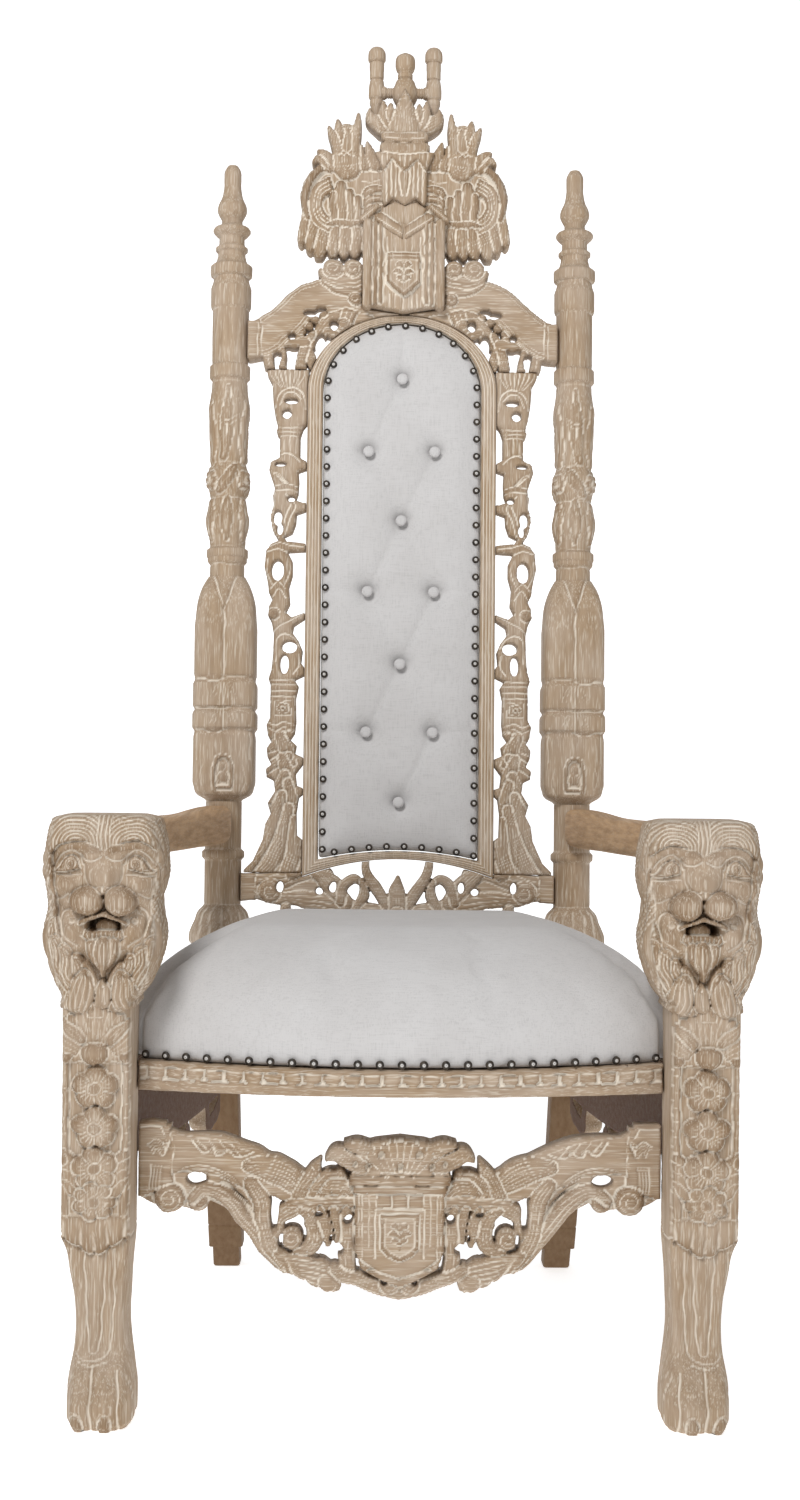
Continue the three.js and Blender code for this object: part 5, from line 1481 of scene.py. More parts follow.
    # lower leaf with fanned veins and a bulb at its end
    f.carve([(148, 184, 5), (136.8, 177.4, 10), (116, 169, 15.5), (95.4, 160, 17.5), (83, 150.5, 12.5), (77, 144, 5)],
            5.5, 4.2, (), (16, 0.12))
    for k in range(7):
        f.scratch([(140 - 1.5 * k, 181 - 2.6 * k), (118 - 1.5 * k, 178 - 6.4 * k), (94 - 2.0 * k, 172 - 6.0 * k),
                   (80 + 2.0 * k, 168 - 5.6 * k)], 1.15, 1.9)
    f.dome(87, 150, 11, 11, 4, 6.0, outline=False)
    f.comb([(78, 166, 7), (64, 158, 9), (46, 152, 9.5), (24, 144, 10), (-4, 137, 9)], 5, 3, 4.6, 1.6)
    f.volute(13, 149, 12.5, -1, 5.5, 4.5, 1.6)
    f.holes((245.6, 272, 12.8, 8), (151.3, 231, 4.6, 21), (143, 199, 3.0, 11), (123, 223, 8, 7.4), (96.5, 232, 4.8, 3),
            (62, 226, 5, 6.5), (76, 189.5, 9.5, 7.6), (18.8, 150.5, 3.6, 3.4), (84, 203, 1.8, 6))
    f.mirror()
    shield(f)
    return f


def shield(f):
    """The crowned shield in the middle: a bordered board with three blocks, an inner shield and a sprig."""
    f.panel([(-54, 262), (-54, 190), (-46, 168), (-20, 154), (0, 147), (20, 154), (46, 168), (54, 190), (54, 262)],
            1.5, 12, 2)
    for side in (-1, 1):
        for x, low in ((49.5, 182), (45.5, 178)):
            f.scratch([(side * x, 258), (side * x, low), (side * (x - 22), 165), (0, 157)], 0.9, 1.8, False)
        f.scratch(sided(side, (29.5, 240), (29.5, 182)), 0.9, 1.8)
        f.scratch(sided(side, (37, 256), (37, 196)), 0.8, 1.1)
        f.hole(side * 35, 168, 5.5, 2.2, 7, False)
    for x in (-19, 0, 19):
        f.panel([(x - 8.5, 243), (x + 8.5, 243), (x + 8.5, 258), (x - 8.5, 258)], 1.5, 13.5, 2)
    f.scratch([(-28, 240.5), (28, 240.5)], 0.9, 1.6)
    f.panel([(-23, 235), (-23, 194), (-15, 185), (0, 178), (15, 185), (23, 194), (23, 235)], 1.5, 14.5, 2)
    f.panel([(-18.5, 231), (-18.5, 196), (-12, 189), (0, 183), (12, 189), (18.5, 196), (18.5, 231)], 0, 13.6, 1)
    sprig(f, 0, 207, 1.0, 13.6)
    # cornice and crown
    f.panel([(-57, 260), (57, 260), (57, 270), (-57, 270)], 2.5, 14.5, 4)
    f.panel([(-61, 270), (61, 270), (61, 282), (-61, 282)], 3.0, 16.5, 5)
    f.scratch([(-60, 275), (60, 275)], 0.9, 1.4)
    f.panel([(-60, 282), (-57, 300), (-50, 316), (-30, 322), (0, 325.5), (30, 322), (50, 316), (57, 300), (60, 282)],
            3, 17, 5)
    for side in (-1, 1):
        f.comb(sided(side, (46, 292, 9), (62, 300, 11), (76, 307, 9), (88, 301, 3)), 4.5, 16, 4.4)
        f.comb(sided(side, (38, 312, 8), (52, 316, 8), (66, 318, 3)), 4, 18, 4.0)
    f.fan(0, 262, 24, 62, 0.75, 9, 3, 18, 0.06, outline=False)
    for x, z, rx, rz in ((-23, 307, 4.5, 5.5), (23, 307, 4.5, 5.5), (-38, 293, 4, 5), (38, 293, 4, 5), (0, 292, 4, 6),
                         (-54, 296, 3, 4.5), (54, 296, 3, 4.5)):
        f.hole(x, z, rx, rz, 7, False)
    f.scratch([(-58, 286), (58, 286)], 1.0, 1.7)


def sprig(f, x, z, size, lift):
    """A small upright plant: a stem and three pairs of leaves."""
    f.scratch([(x, z - 14 * size), (x, z + 15 * size)], 1.1, -1.8)
    for k, reach in ((-8, 8), (0, 12), (9, 9)):
        for side in (-1, 1):
            f.carve([(x, z + k * size, 1.6), (x + side * reach * 0.55 * size, z + (k + 5) * size, 3.2 * size),
                     (x + side * reach * size, z + (k + 4) * size, 1.2)], 2.2, lift, cut=1.0, outline=False)


class THRONE_OT_front_apron(bpy.types.Operator):
    """Carves the pierced front apron with its crowned shield"""

    bl_idname = "throne.front_apron"
    bl_label = "Front apron"

    def execute(self, context):
        mats = finishes()
        face = apron_face(context.scene.throne.carving_step / MM)
        edge = APRON_HIGH[0] - 0.3
        face.trim(edge - np.abs(face.X))
        shape = board(face, APRON_FRONT, APRON_HIGH[1], 3.2, None, 1)
        # the apron's back takes raw wood darkened as painted shade
        build("carved_apron", shape, [mats["limed_level"], mats["raw_wood_painted_shade"]], ["front_apron"])
        return {"FINISHED"}


# ---- Boards of the back ----

ARCH = {"outer": 138.0, "inner": 115.5, "spring": 1318.0, "top": 1430.0, "cloth": 1419.0, "foot": (609.0, 635.0),
        "hem": (634.0, 647.0)}


def arch_way(half, top, foot, sides=60, over=90, under=40):
    """The arch's outline from its lower right corner: up, over an ellipse, down, and back along a hollowed foot."""
    spring = ARCH["spring"]
    up, turn, back = np.arange(sides) / sides, np.arange(over) / over * math.pi, np.arange(under) / under
    x = np.concatenate([np.full(sides, half), half * np.cos(turn), np.full(sides, -half), -half + 2 * half * back])
    z = np.concatenate([foot[0] + (spring - foot[0]) * up, spring + (top - spring) * np.sin(turn),
                        spring + (foot[0] - spring) * up, foot[0] + (foot[1] - foot[0]) * 4 * back * (1 - back)])
    return np.column_stack([x, z])


def arch_depth(half, top, foot, X, Z):
    """About how far a place lies inside an arch: the least of its distances to the sides, foot and ellipse."""
    spring = ARCH["spring"]
    low = foot[0] + (foot[1] - foot[0]) * (1 - np.clip(X / half, -1, 1) ** 2)
    rise = top - spring
    r = np.hypot(X / half, np.maximum(Z - spring, 0) / rise)
    over = (1 - r) * np.minimum(half, rise)
    return np.minimum(np.where(Z > spring, over, half - np.abs(X)), Z - low)


def pad_depth(x, z):
    """How far a place lies inside the cloth of the back."""
    return arch_depth(ARCH["inner"], ARCH["cloth"], ARCH["hem"], x, z)


def cut_by_frame(f, margin=0.6):
    """Takes the frame's arch, and what it holds, out of a board."""
    inside = arch_depth(ARCH["outer"], ARCH["top"], ARCH["foot"], f.X, f.Z)
    f.trim(-inside - margin)


def back_frame_shape():
    """The frame: a reeded moulding carried round the arch between its outer and inner outlines."""
    outer = arch_way(ARCH["outer"], ARCH["top"], ARCH["foot"])
    inner = arch_way(ARCH["inner"], ARCH["cloth"], ARCH["hem"])
    share = np.linspace(0, 1, 44)
    reed = 1.5 * np.abs(np.sin(share * 5 * math.pi)) ** 0.6 + 3.4 * np.sin(math.pi * share) ** 0.5
    face_y = 151.0 - reed
    s = np.concatenate([[0, 0, 0], share, [1, 1]])
    y = np.concatenate([[180, 166, 155], face_y, [160, 176]])
    place = outer[:, None] * (1 - s)[None, :, None] + inner[:, None] * s[None, :, None]
    P = np.stack([place[..., 0], np.broadcast_to(y, place.shape[:2]), place[..., 1]], -1)
    groove = np.concatenate([[0] * 3, (np.abs(np.sin(share * 5 * math.pi)) < 0.35) * 0.8, [0] * 2])
    return hoop(P, np.broadcast_to(groove, place.shape[:2]))


FRET_OUTER = [
    (199, 1357), (197, 1340), (190, 1327), (188, 1298), (185, 1279), (181, 1264), (183, 1258), (181, 1251), (178, 1249),
    (178, 1219), (191, 1212), (193, 1200), (187, 1182), (184, 1172), (187, 1163), (186, 1150), (190, 1132), (187, 1113),
    (178, 1097), (189, 1092), (196, 1082), (198, 1058), (193, 1036), (191, 1020), (186, 1010), (191, 1000), (192, 988),
    (186, 975), (183, 958), (184, 932), (186, 908), (190, 895), (187, 886), (187, 838), (192, 828), (190, 813),
    (185, 803), (191, 794), (190, 781), (184, 770), (192, 764), (191, 752), (181, 747), (178, 732), (189, 714),
    (184, 699), (192, 684), (195, 662), (209, 631), (226, 614), (226, 600)]
FRET_INNER = [
    (136, 600), (136, 660), (146, 668), (147, 700), (144, 722), (136, 729), (136, 736), (147, 740), (149, 756),
    (136, 774), (136, 780), (150, 786), (148, 798), (157, 806), (151, 815), (149, 832), (150, 866), (146, 884),
    (152, 893), (136, 901), (136, 909), (143, 918), (141, 936), (147, 950), (156, 962), (154, 972), (136, 984),
    (136, 993), (158, 985), (166, 992), (160, 1004), (162, 1028), (157, 1046), (157, 1066), (164, 1080), (136, 1082),
    (136, 1093), (166, 1096), (170, 1102), (158, 1108), (153, 1122), (152, 1136), (136, 1142), (136, 1152), (154, 1156),
    (150, 1166), (149, 1184), (150, 1198), (136, 1203), (136, 1212), (148, 1219), (148, 1250), (144, 1262), (136, 1272),
    (136, 1357)]


def fret_face(step):
    """The right fret between the frame and the post: a capital over an arched window, a reeded column, leaves and
    open loops, a second column, and leaves that spread into the foot."""
    f = Face(122, 230, 598, 1356, step)
    f.panel(FRET_OUTER + FRET_INNER, 6.0, 0, 8)
    # capital, window and upper column
    for k, x in enumerate((143, 150, 157, 164, 171, 178, 185, 192)):
        f.scratch([(x + 1.5, 1357), (x, 1340), (154 + 3.4 * k, 1322)], 1.1, 1.8)
    f.scratch([(184, 1292), (181, 1308), (172, 1318), (158, 1321), (145, 1312), (141, 1290)], 1.3, 2.2)
    f.scratch([(178, 1296), (171, 1312), (158, 1314), (148, 1305)], 1.2, 1.8)
    for z in (1262, 1256, 1250):
        f.scratch([(184, z), (144, z)], 1.1, 1.9)
    for x in (154, 163, 172):
        f.scratch([(x, 1248), (x, 1224)], 1.1, 1.5)
    f.scratch([(180, 1220), (170, 1224), (158, 1221), (148, 1212)], 1.2, 2.0)
    # leaf under the column, and the ring below it
    for k in range(4):
        f.scratch([(191 - 5 * k, 1198 - 4 * k), (176 - 3 * k, 1192 - 5 * k), (162 - 2 * k, 1174 - k)], 1.2, 1.9)
    f.carve([(186, 1172, 2.5), (168, 1175, 4), (149, 1171, 2.5)], 3, 4.5, outline=False, cut=1.6)
    # open loops
    for way in ([(184, 1166), (186, 1146), (187, 1122), (179, 1100)],
                [(168, 1164), (154, 1148), (161, 1130), (168, 1106)],
                [(160, 1150), (168, 1132), (172, 1112)], [(190, 1088), (176, 1093), (160, 1089), (142, 1087)],
                [(193, 1080), (178, 1084), (163, 1078)], [(193, 1070), (194, 1050), (186, 1032)],
                [(162, 1066), (161, 1050), (169, 1030)], [(188, 1026), (178, 1036), (167, 1026)],
                [(185, 1014), (176, 1026), (166, 1012)], [(142, 989), (160, 979), (174, 972), (184, 962)],
                [(146, 942), (154, 954), (168, 960), (179, 950), (179, 920)], [(147, 930), (146, 914), (154, 902)]):
        f.scratch(way, 1.3, 2.2)
    f.volute(183, 989, 9, 1, 5, 4, 1.3)
    # lower column
    for z in (893, 886, 877, 869):
        f.scratch([(190, z), (146, z)], 1.1, 1.9)
    f.panel([(156, 842), (156, 862), (180, 862), (180, 842)], 1.5, 5.0, 2, outline=False)
    f.flower(168, 852, 9, 8, 5, 3, 5.5, 2, outline=False)
    for z in (832, 824):
        f.scratch([(190, z), (179, z - 5), (167, z), (152, z - 4)], 1.2, 2.0)
    # leaves that fall to the foot
    for way in (
        [(160, 812, 8), (176, 800, 9), (190, 790, 4)], [(172, 812, 8), (162, 790, 10), (152, 772, 5)],
        [(160, 782, 8), (178, 772, 8), (190, 760, 4)], [(168, 780, 8), (160, 758, 10), (150, 742, 5)],
        [(164, 756, 8), (172, 736, 9), (187, 716, 4)], [(160, 744, 8), (154, 718, 9), (150, 698, 6)],
        [(168, 726, 8), (178, 696, 12), (186, 664, 13), (204, 634, 10), (224, 610, 6)],
        [(158, 708, 8), (163, 676, 12), (173, 646, 14), (192, 616, 12), (204, 600, 8)],
        [(150, 692, 6), (150, 660, 10), (153, 630, 12), (166, 602, 12)],
    ):
        f.comb(way, 5.0, 2.5, 4.4, 1.7, 1.2, outline=False, cut=2.2)
    f.holes((161.6, 1302, 10.5, 4.2), (168, 1283, 7, 7), (176.5, 1208.5, 9, 3.2), (160, 1158, 5.5, 4.5),
            (179.5, 1130, 6.5, 11), (176, 1114, 4.5, 9), (178.5, 1053, 9, 15), (160, 941, 11, 9), (167, 916, 6.5, 14))
    return f


def lower_rail_face(step):
    """The lower rail of the back: a strap that dips from the posts to a leafy middle, with leaves over it."""
    f = Face(-232, 232, 542, 652, step)
    f.panel([(234, 611), (206, 613), (190, 614), (150, 618), (130, 624), (104, 600), (96, 580), (120, 566), (150, 566),
             (178, 572), (206, 576), (234, 574)], 3, -1, 4)
    f.carve([(240, 594, 16), (216, 593, 16), (192, 597, 17), (161, 608, 16), (129, 620, 16), (106, 612, 13)], 5.5, 0,
            (-0.5, 0, 0.5))
    f.carve([(190, 588, 14), (172, 577, 10), (148, 577, 10.5), (120, 575, 14), (89, 569, 16), (51, 561, 12.5),
             (-6, 557, 11.5)], 5.5, 2, (-0.45, 0.05, 0.5), (34, 0.12))
    f.comb([(116, 616, 10), (94, 596, 14), (76, 572, 12)], 5.5, 3, 4.4)
    f.comb([(82, 572, 7), (76, 596, 8), (62, 606, 7), (46, 596, 4)], 5, 3.5, 3.8)
    f.comb([(10, 562, 9), (26, 586, 9), (42, 612, 7), (48, 642, 5)], 5, 3, 4.0)
    f.comb([(58, 564, 7), (48, 584, 8), (52, 604, 3)], 4.5, 3, 4.0)
    f.volute(183, 588, 17, -1, 6.5, 3, 1.7)
    f.volute(161, 563, 8, 1, 5, 2.5, 1.2)
    f.comb([(0, 556, 13), (0, 580, 13), (0, 608, 4)], 6, 4, 4.4)
    f.panel([(205, 614), (234, 614), (234, 572), (205, 574)], 1.5, 3, 2)
    f.volute(150, 617, 13, 1, 5, 4, 1.5)
    f.holes((168, 594, 5, 8.5), (112, 588, 6, 5), (92, 594, 5, 8))
    f.mirror()
    f.dome(0, 560, 9, 7, 4, 6)
    return f


def crest_rail_face(step):
    """The crest rail: a shoulder that rises from the posts to the box, with scrolled brackets inside it."""
    f = Face(-242, 242, 1338, 1516, step)
    shoulder = [(246, 1391, 29), (213, 1392, 28), (196, 1400, 27), (178, 1414, 26), (158, 1433, 25), (138, 1450, 25),
                (112, 1459, 25), (86, 1460, 23), (50, 1452, 21), (-6, 1444, 20)]
    # ground between the shoulder and the arch
    f.carve([(92, 1440, 22), (50, 1428, 22), (-6, 1424, 22)], 2, -1)
    f.comb([(136, 1386, 8), (122, 1402, 11), (108, 1420, 11), (92, 1432, 8)], 5, 1, 4.2)
    f.comb([(130, 1352, 7), (138, 1372, 9), (148, 1390, 8), (160, 1402, 5)], 5, 1, 3.8)
    f.comb([(150, 1340, 8), (148, 1362, 8), (142, 1384, 8), (133, 1400, 6)], 5, 1, 4.0)
    f.carve([(173, 1340, 6), (176, 1364, 6), (183, 1390, 6)], 4.5, 0.5)
    f.carve([(192, 1340, 8), (196, 1362, 8), (199, 1380, 8)], 4.5, 0.5, (0,))
    f.carve([(140, 1388, 8), (160, 1386, 7), (186, 1388, 6)], 4.5, 1, (), (14, 0.2))
    for k in range(4):
        x, z = 150 - k * 11, 1404 + k * 8.5
        f.dome(x, z, 6.5, 6, 4.5, 2)
    for k in range(3):
        f.dome(103 - k * 7, 1413 + k * 4.5, 4.2, 4.2, 3.5, 4.5)
    f.carve([(112, 1404, 5), (98, 1402, 7), (88, 1410, 9), (82, 1424, 11), (78, 1440, 12), (84, 1458, 12)], 5, 2.5,
            (-0.3, 0.4))
    f.volute(88, 1412, 11, 1, 5, 3.5, 1.4)
    # the shoulder itself: pale hollow middle between raised edges
    f.carve(shoulder, 4.5, 1.5, (-0.86, -0.7, 0.86, 0.7), None, None, 2.6, 4.0)
    f.panel([(246, 1419), (208, 1420), (208, 1364), (246, 1363)], 1.5, 4.5, 2)
    f.scratch([(212, 1418), (212, 1366)], 0.9, 1.5)
    # end scrolls that carry the mantlings
    f.carve([(112, 1478, 9), (92, 1470, 12), (66, 1470, 12), (52, 1476, 8)], 5, 4, (-0.3, 0.4))
    f.carve([(120, 1492, 6), (104, 1480, 11), (80, 1480, 12), (50, 1492, 14)], 5, 5, (0, 0.5), (22, 0.12))
    f.volute(103, 1496, 16, -1, 6.5, 6, 1.8, 0.4)
    f.volute(74, 1496, 14, 1, 6, 6, 1.6)
    f.volute(70, 1452, 10, 1, 4.5, 5, 1.3)
    f.holes((133, 1431, 12, 5.5), (121, 1436, 8, 4), (101, 1414, 6.5, 8), (121, 1389, 7, 12), (162, 1397, 5.5, 5),
            (182, 1362, 5, 11), (161, 1365, 4.5, 11))
    f.mirror()
    cut_by_frame(f)
    box = np.minimum(59.4 - np.abs(f.X), f.Z - (1440 - 9 * (1 - np.abs(f.X) / 60)))
    f.trim(-box - 0.4)
    f.trim(np.minimum(1511.6 - f.Z, f.Z - 1349.4))
    return f


# ---- Crest ----

CREST_Y = 157.0  # middle of the crest's depth


def mantling_face(step):
    """The right mantling: a smooth roundel under a double rim, a wavy lock inside it, a mane that hangs in loose ends
    below and a block of plumes above."""
    f = Face(24, 160, 1510, 1732, step)
    f.panel([(28, 1654), (60, 1655), (98, 1656), (122, 1652), (138, 1642), (148, 1626), (153, 1606), (150, 1584),
             (143, 1563), (149, 1536), (120, 1522), (90, 1524), (60, 1522), (28, 1526)], 2, 0, 3)
    # mane below: locks of unlike width that hang and turn outwards
    for x, z, tip_x, tip_z, w in ((140, 1590, 150, 1533, 9), (128, 1572, 137, 1523, 10), (38, 1560, 36, 1517, 11),
                                  (112, 1566, 124, 1513.5, 11), (54, 1562, 55, 1519, 10), (96, 1562, 104, 1516, 11),
                                  (72, 1560, 72, 1515.5, 11), (85, 1560, 88, 1514.5, 10)):
        f.comb([(x, z, w * 0.9), ((x + tip_x) / 2 - 2, (z + tip_z) / 2 + 6, w), (tip_x - 1, tip_z + 9, w * 0.8),
                (tip_x, tip_z, w * 0.3)], 4.5, 1.5, 4.4, 1.5, 1.8)
    # plain hollow under the rim, and the rim itself
    f.swell(92, 1618, 46, 30, -2.5, 2)
    f.carve([(28, 1651, 5), (66, 1652, 5.4), (98, 1652, 5.6), (122, 1645, 5.6), (139, 1625, 5.4), (146, 1598, 5),
             (141, 1572, 4)], 4.5, 4.5)
    f.scratch([(30, 1642), (66, 1643), (96, 1643), (116, 1637), (131, 1619), (136, 1596), (131, 1572)], 1.4, 2.0)
    f.scratch([(30, 1655), (66, 1656.5), (98, 1656.5)], 1.2, 1.6)
    # curls that turn round beside the lock
    for k in range(4):
        a = 7.5 * k
        f.carve([(106 + a * 0.2, 1612 + a * 0.8, 3), (120 + a * 0.45, 1604 + a * 0.5, 4), (124 + a * 0.55, 1588, 4.4),
                 (116 + a * 0.6, 1573 - a * 0.3, 4.2), (100 + a * 0.5, 1566 - a * 0.6, 3)], 3.4, 3.8 - 0.8 * k, (),
                outline=False, cut=1.4)
    # wavy lock with a stepped top
    for x, top, w in ((68, 1600, 7), (80, 1609, 8), (93, 1620, 9), (104, 1606, 6)):
        f.comb([(x, top, w * 0.8), (x + 1, top - 14, w), (x - 2, 1580, w), (x - 1, 1564, w * 0.8)], 4.2, 4.0, 4.0, 1.4,
               1.4, outline=False)
    f.carve([(60, 1566, 2), (78, 1562, 4.4), (98, 1564, 4.4), (112, 1560, 2)], 3.0, 5.0, outline=False)
    # folds between the helm and the lock
    for z in (1583, 1597, 1611):
        f.carve([(28, z + 3, 4), (42, z + 4, 6), (54, z, 6), (57, z - 7, 3)], 3.6, 3.0, (0.1,), outline=False, cut=1.6)
    f.scratch([(36, 1630), (50, 1626), (62, 1628)], 1.1, 1.4)
    # plumes above: a leaf by the helm, the block with three tips, small leaves outside
    f.comb([(42, 1652, 10), (50, 1668, 8), (55, 1684, 3)], 4.5, 2.5, 4.0)
    f.comb([(60, 1650, 9), (66, 1666, 8), (64, 1680, 3)], 4.5, 2.0, 4.0)
    f.comb([(110, 1648, 9), (124, 1660, 7), (133, 1656, 3)], 4.5, 2, 4.0)
    f.comb([(102, 1652, 9), (116, 1666, 7), (126, 1671, 3)], 4.5, 2.5, 4.0)
    f.comb([(84, 1648, 20), (85, 1672, 21), (86, 1692, 20), (84, 1700, 12)], 5.5, 2.4, 4.2, 1.5, 1.6)
    f.comb([(92, 1672, 9), (94, 1692, 9), (97, 1705, 7), (98, 1716, 3)], 3.4, 4.4, 4.0, 1.4, 1.0, cut=0.3)
    f.comb([(98, 1672, 8), (103, 1690, 7), (108, 1700, 5), (111, 1706, 3)], 3.4, 4.0, 4.0, 1.4, 1.0, cut=0.3)
    f.comb([(76, 1672, 9), (72, 1694, 8), (69, 1712, 6), (68, 1727, 2.5)], 3.8, 4.4, 4.0, 1.4, 1.0, cut=0.3)
    f.comb([(84, 1676, 8), (83, 1692, 7), (83, 1704, 2.5)], 3.0, 4.6, 4.0, 1.4, 1.0, cut=0.3)
    f.trim(f.Z - 1512.4)
    return f


def box_face(step):
    """The box of the crest: reeded uprights on both sides of a small inner shield with a sprig."""
    f = Face(-64, 64, 1428, 1566, step)
    f.panel([(-60, 1562), (-60, 1441), (0, 1431.5), (60, 1441), (60, 1562)], 1.5, 0, 2)
    f.panel([(-27, 1562), (-27, 1438), (0, 1433), (27, 1438), (27, 1562)], 0, 0.2, 1)
    for side in (-1, 1):
        for x, w, lift in ((53, 7, 3.0), (41, 3.6, 2.6), (33.5, 3.0, 2.0)):
            f.carve([(side * x, 1440 + 0.16 * (60 - x), w), (side * x, 1500, w), (side * x, 1561, w)], 3.0, lift, (),
                    cut=2.0)
        f.scratch(sided(side, (24, 1512), (24, 1540)), 0.95, 1.6)
        f.scratch(sided(side, (12, 1520), (12, 1540)), 0.9, 1.2)
    for x in (-20, -12, 12, 20):
        f.scratch([(x, 1456), (x, 1437)], 0.9, 1.5)
    f.scratch([(0, 1450), (0, 1434)], 0.9, 1.7)
    f.panel([(-24, 1516), (-24, 1474), (-14, 1462), (0, 1452), (14, 1462), (24, 1474), (24, 1516)], 1.5, 6.0, 2)
    f.scratch([(-24, 1511), (24, 1511)], 0.9, 1.3)
    f.panel([(-20, 1506), (-20, 1476), (0, 1457.5), (20, 1476), (20, 1506)], 0, 5.4, 1)
    sprig(f, 0, 1483, 1.15, 5.4)
    return f


def fluted(levels, count, x, y, squash):
    """A helm or band: a turning of ridges, its radius r (0.88 + 0.12 |sin|^0.6)."""
    angle = np.arange(count * 10) / (count * 10) * TAU
    z0, z1 = levels[0][0], levels[-1][0]
    ridge = np.abs(np.sin(count * angle / 2)) ** 0.6
    rows = z0 + (z1 - z0) * np.linspace(0, 1, 34)
    radius = table(levels, rows, 1)[:, None] * (0.88 + 0.12 * ridge)
    z = np.broadcast_to(rows[:, None], radius.shape)
    lime = np.broadcast_to((ridge < 0.35) * 0.8, radius.shape)
    return skin(np.stack([x + radius * np.cos(angle), y + squash * radius * np.sin(angle), z], -1), lime)


def bent(path, radii, count=20, squash=1.0):
    """A round bar along a path in x and z, at the crest's middle depth."""
    path = np.array(path, float)
    way = np.gradient(path, axis=0)
    way /= np.linalg.norm(way, axis=1)[:, None]
    angle = np.arange(count) / count * TAU
    r = np.array(radii, float)[:, None]
    x = path[:, :1] + way[:, 1:] * r * np.cos(angle)
    z = path[:, 1:] - way[:, :1] * r * np.cos(angle)
    y = CREST_Y + squash * r * np.sin(angle)
    return skin(np.stack([x, y, z], -1))


PRONG = [(1716, 7), (1727, 7.4), (1743, 8.6), (1752, 10.2), (1753.5, 8.8), (1756, 11), (1768, 11.8), (1779, 10.6),
         (1782.5, 9.8), (1784, 8.4), (1785.5, 10.2), (1797, 10.4), (1808.5, 10.8), (1810.3, 9.2), (1812, 12.2),
         (1820, 13), (1828, 11), (1832, 7), (1834, 2)]
FINIAL = [(1738, 8), (1746, 13), (1756, 18), (1766, 18.8), (1776, 15.5), (1784, 11.5), (1785.5, 9.6), (1787, 11),
          (1792, 11), (1793.5, 9.8), (1797, 12.2), (1805, 14.6), (1813, 14.6), (1820, 11.5), (1825, 3)]


class THRONE_OT_back_boards(bpy.types.Operator):
    """Carves the boards of the back: frame, frets, lower rail and crest rail"""

    bl_idname = "throne.back_boards"
    bl_label = "Back boards"

    def execute(self, context):
        mats = finishes()
        step = context.scene.throne.carving_step / MM
        upright, level = mats["limed_upright"], mats["limed_level"]
        build("reeded_frame", back_frame_shape().leaned(), upright, ["back_frame"], sharp=60)
        face = fret_face(step)
        cut_by_frame(face)
        post = np.where((face.Z > 706) & (face.Z < 1044), 207.5, 222.0)
        face.trim(post - face.X)
        face.trim(np.minimum(1348.8 - face.Z, face.Z - 614.1))
        fret = board(face, 155, 171, 3).leaned()
        for name, shape in both_sides(fret):
            build(f"carved_fret_{name}", shape, upright, [f"fret_{name}"])
        face = lower_rail_face(step)
        cut_by_frame(face)
        face.trim(226 - np.abs(face.X))
        free = (np.abs(face.X) < 132) & (face.Z > 606)
        face.inside = np.where(free, face.inside, np.minimum(face.inside, 613.9 - face.Z))
        build("carved_lower_rail", board(face, 153, 173, 3).leaned(), level, ["lower_back_rail"])
        face = crest_rail_face(step)
        face.trim(226.5 - np.abs(face.X))
        build("carved_crest_rail", board(face, 148, 175, 3.5).leaned(), level, ["crest_rail"])
        return {"FINISHED"}


class THRONE_OT_crest(bpy.types.Operator):
    """Carves the crest: box, mantlings, helm, crown and prongs"""

    bl_idname = "throne.crest"
    bl_label = "Crest"

    def execute(self, context):
        mats = finishes()
        wood = mats["limed_upright"]
        step = context.scene.throne.carving_step / MM
        mantle = board(mantling_face(step), 145, 171, 3.5).leaned()
        for name, shape in both_sides(mantle):
            build(f"mantling_{name}", shape, wood, ["crest"])
        build("crest_box", board(box_face(step), 131, 174, 2.5).leaned(), wood, ["crest"])
        helm = together([
            fluted([(1590, 30), (1600, 31), (1632, 32), (1650, 33)], 12, 0, CREST_Y, 0.7),
            fluted([(1646, 34), (1652, 38), (1660, 39), (1666, 38)], 14, 0, CREST_Y, 0.6),
            turning([(1660, 24), (1666, 26), (1674, 27), (1682, 24.5), (1690, 26), (1697, 26.5), (1706, 24)],
                    np.linspace(1660, 1706, 34), 0, CREST_Y, 56, None, 0.7),
        ])
        build("fluted_helm", helm.leaned(), wood, ["crest"], sharp=40)
        build("crest_flaps", board(flap_face(step), 137, 168, 2.5).leaned(), wood, ["crest"])
        build("helm_panel", board(helm_face(step), 144, 166, 2.5).leaned(), wood, ["crest"])
        build("crown_leaves", board(crown_face(step), 146, 168, 3).leaned(), wood, ["crest"])
        z = heights_for(PRONG, 1.6)
        prongs = []
        for side in (-1, 1):
            prongs.append(turning(PRONG, z, side * 42, CREST_Y, 30))
            bar = np.linspace(8, 38, 60)
            thick = 8.4 + 1.2 * smooth(26, 30, bar) - 1.3 * np.abs(np.sin(bar * 0.9)) * (bar < 29)
            prongs.append(bent(np.column_stack([side * bar, np.full(60, 1764.5)])[::side], thick[::side], 22))
        prongs.append(turning(FINIAL, heights_for(FINIAL, 1.6), 0, CREST_Y, 34))
        build("crown_prongs", together(prongs).leaned(), wood, ["crest"], sharp=45)
        return {"FINISHED"}


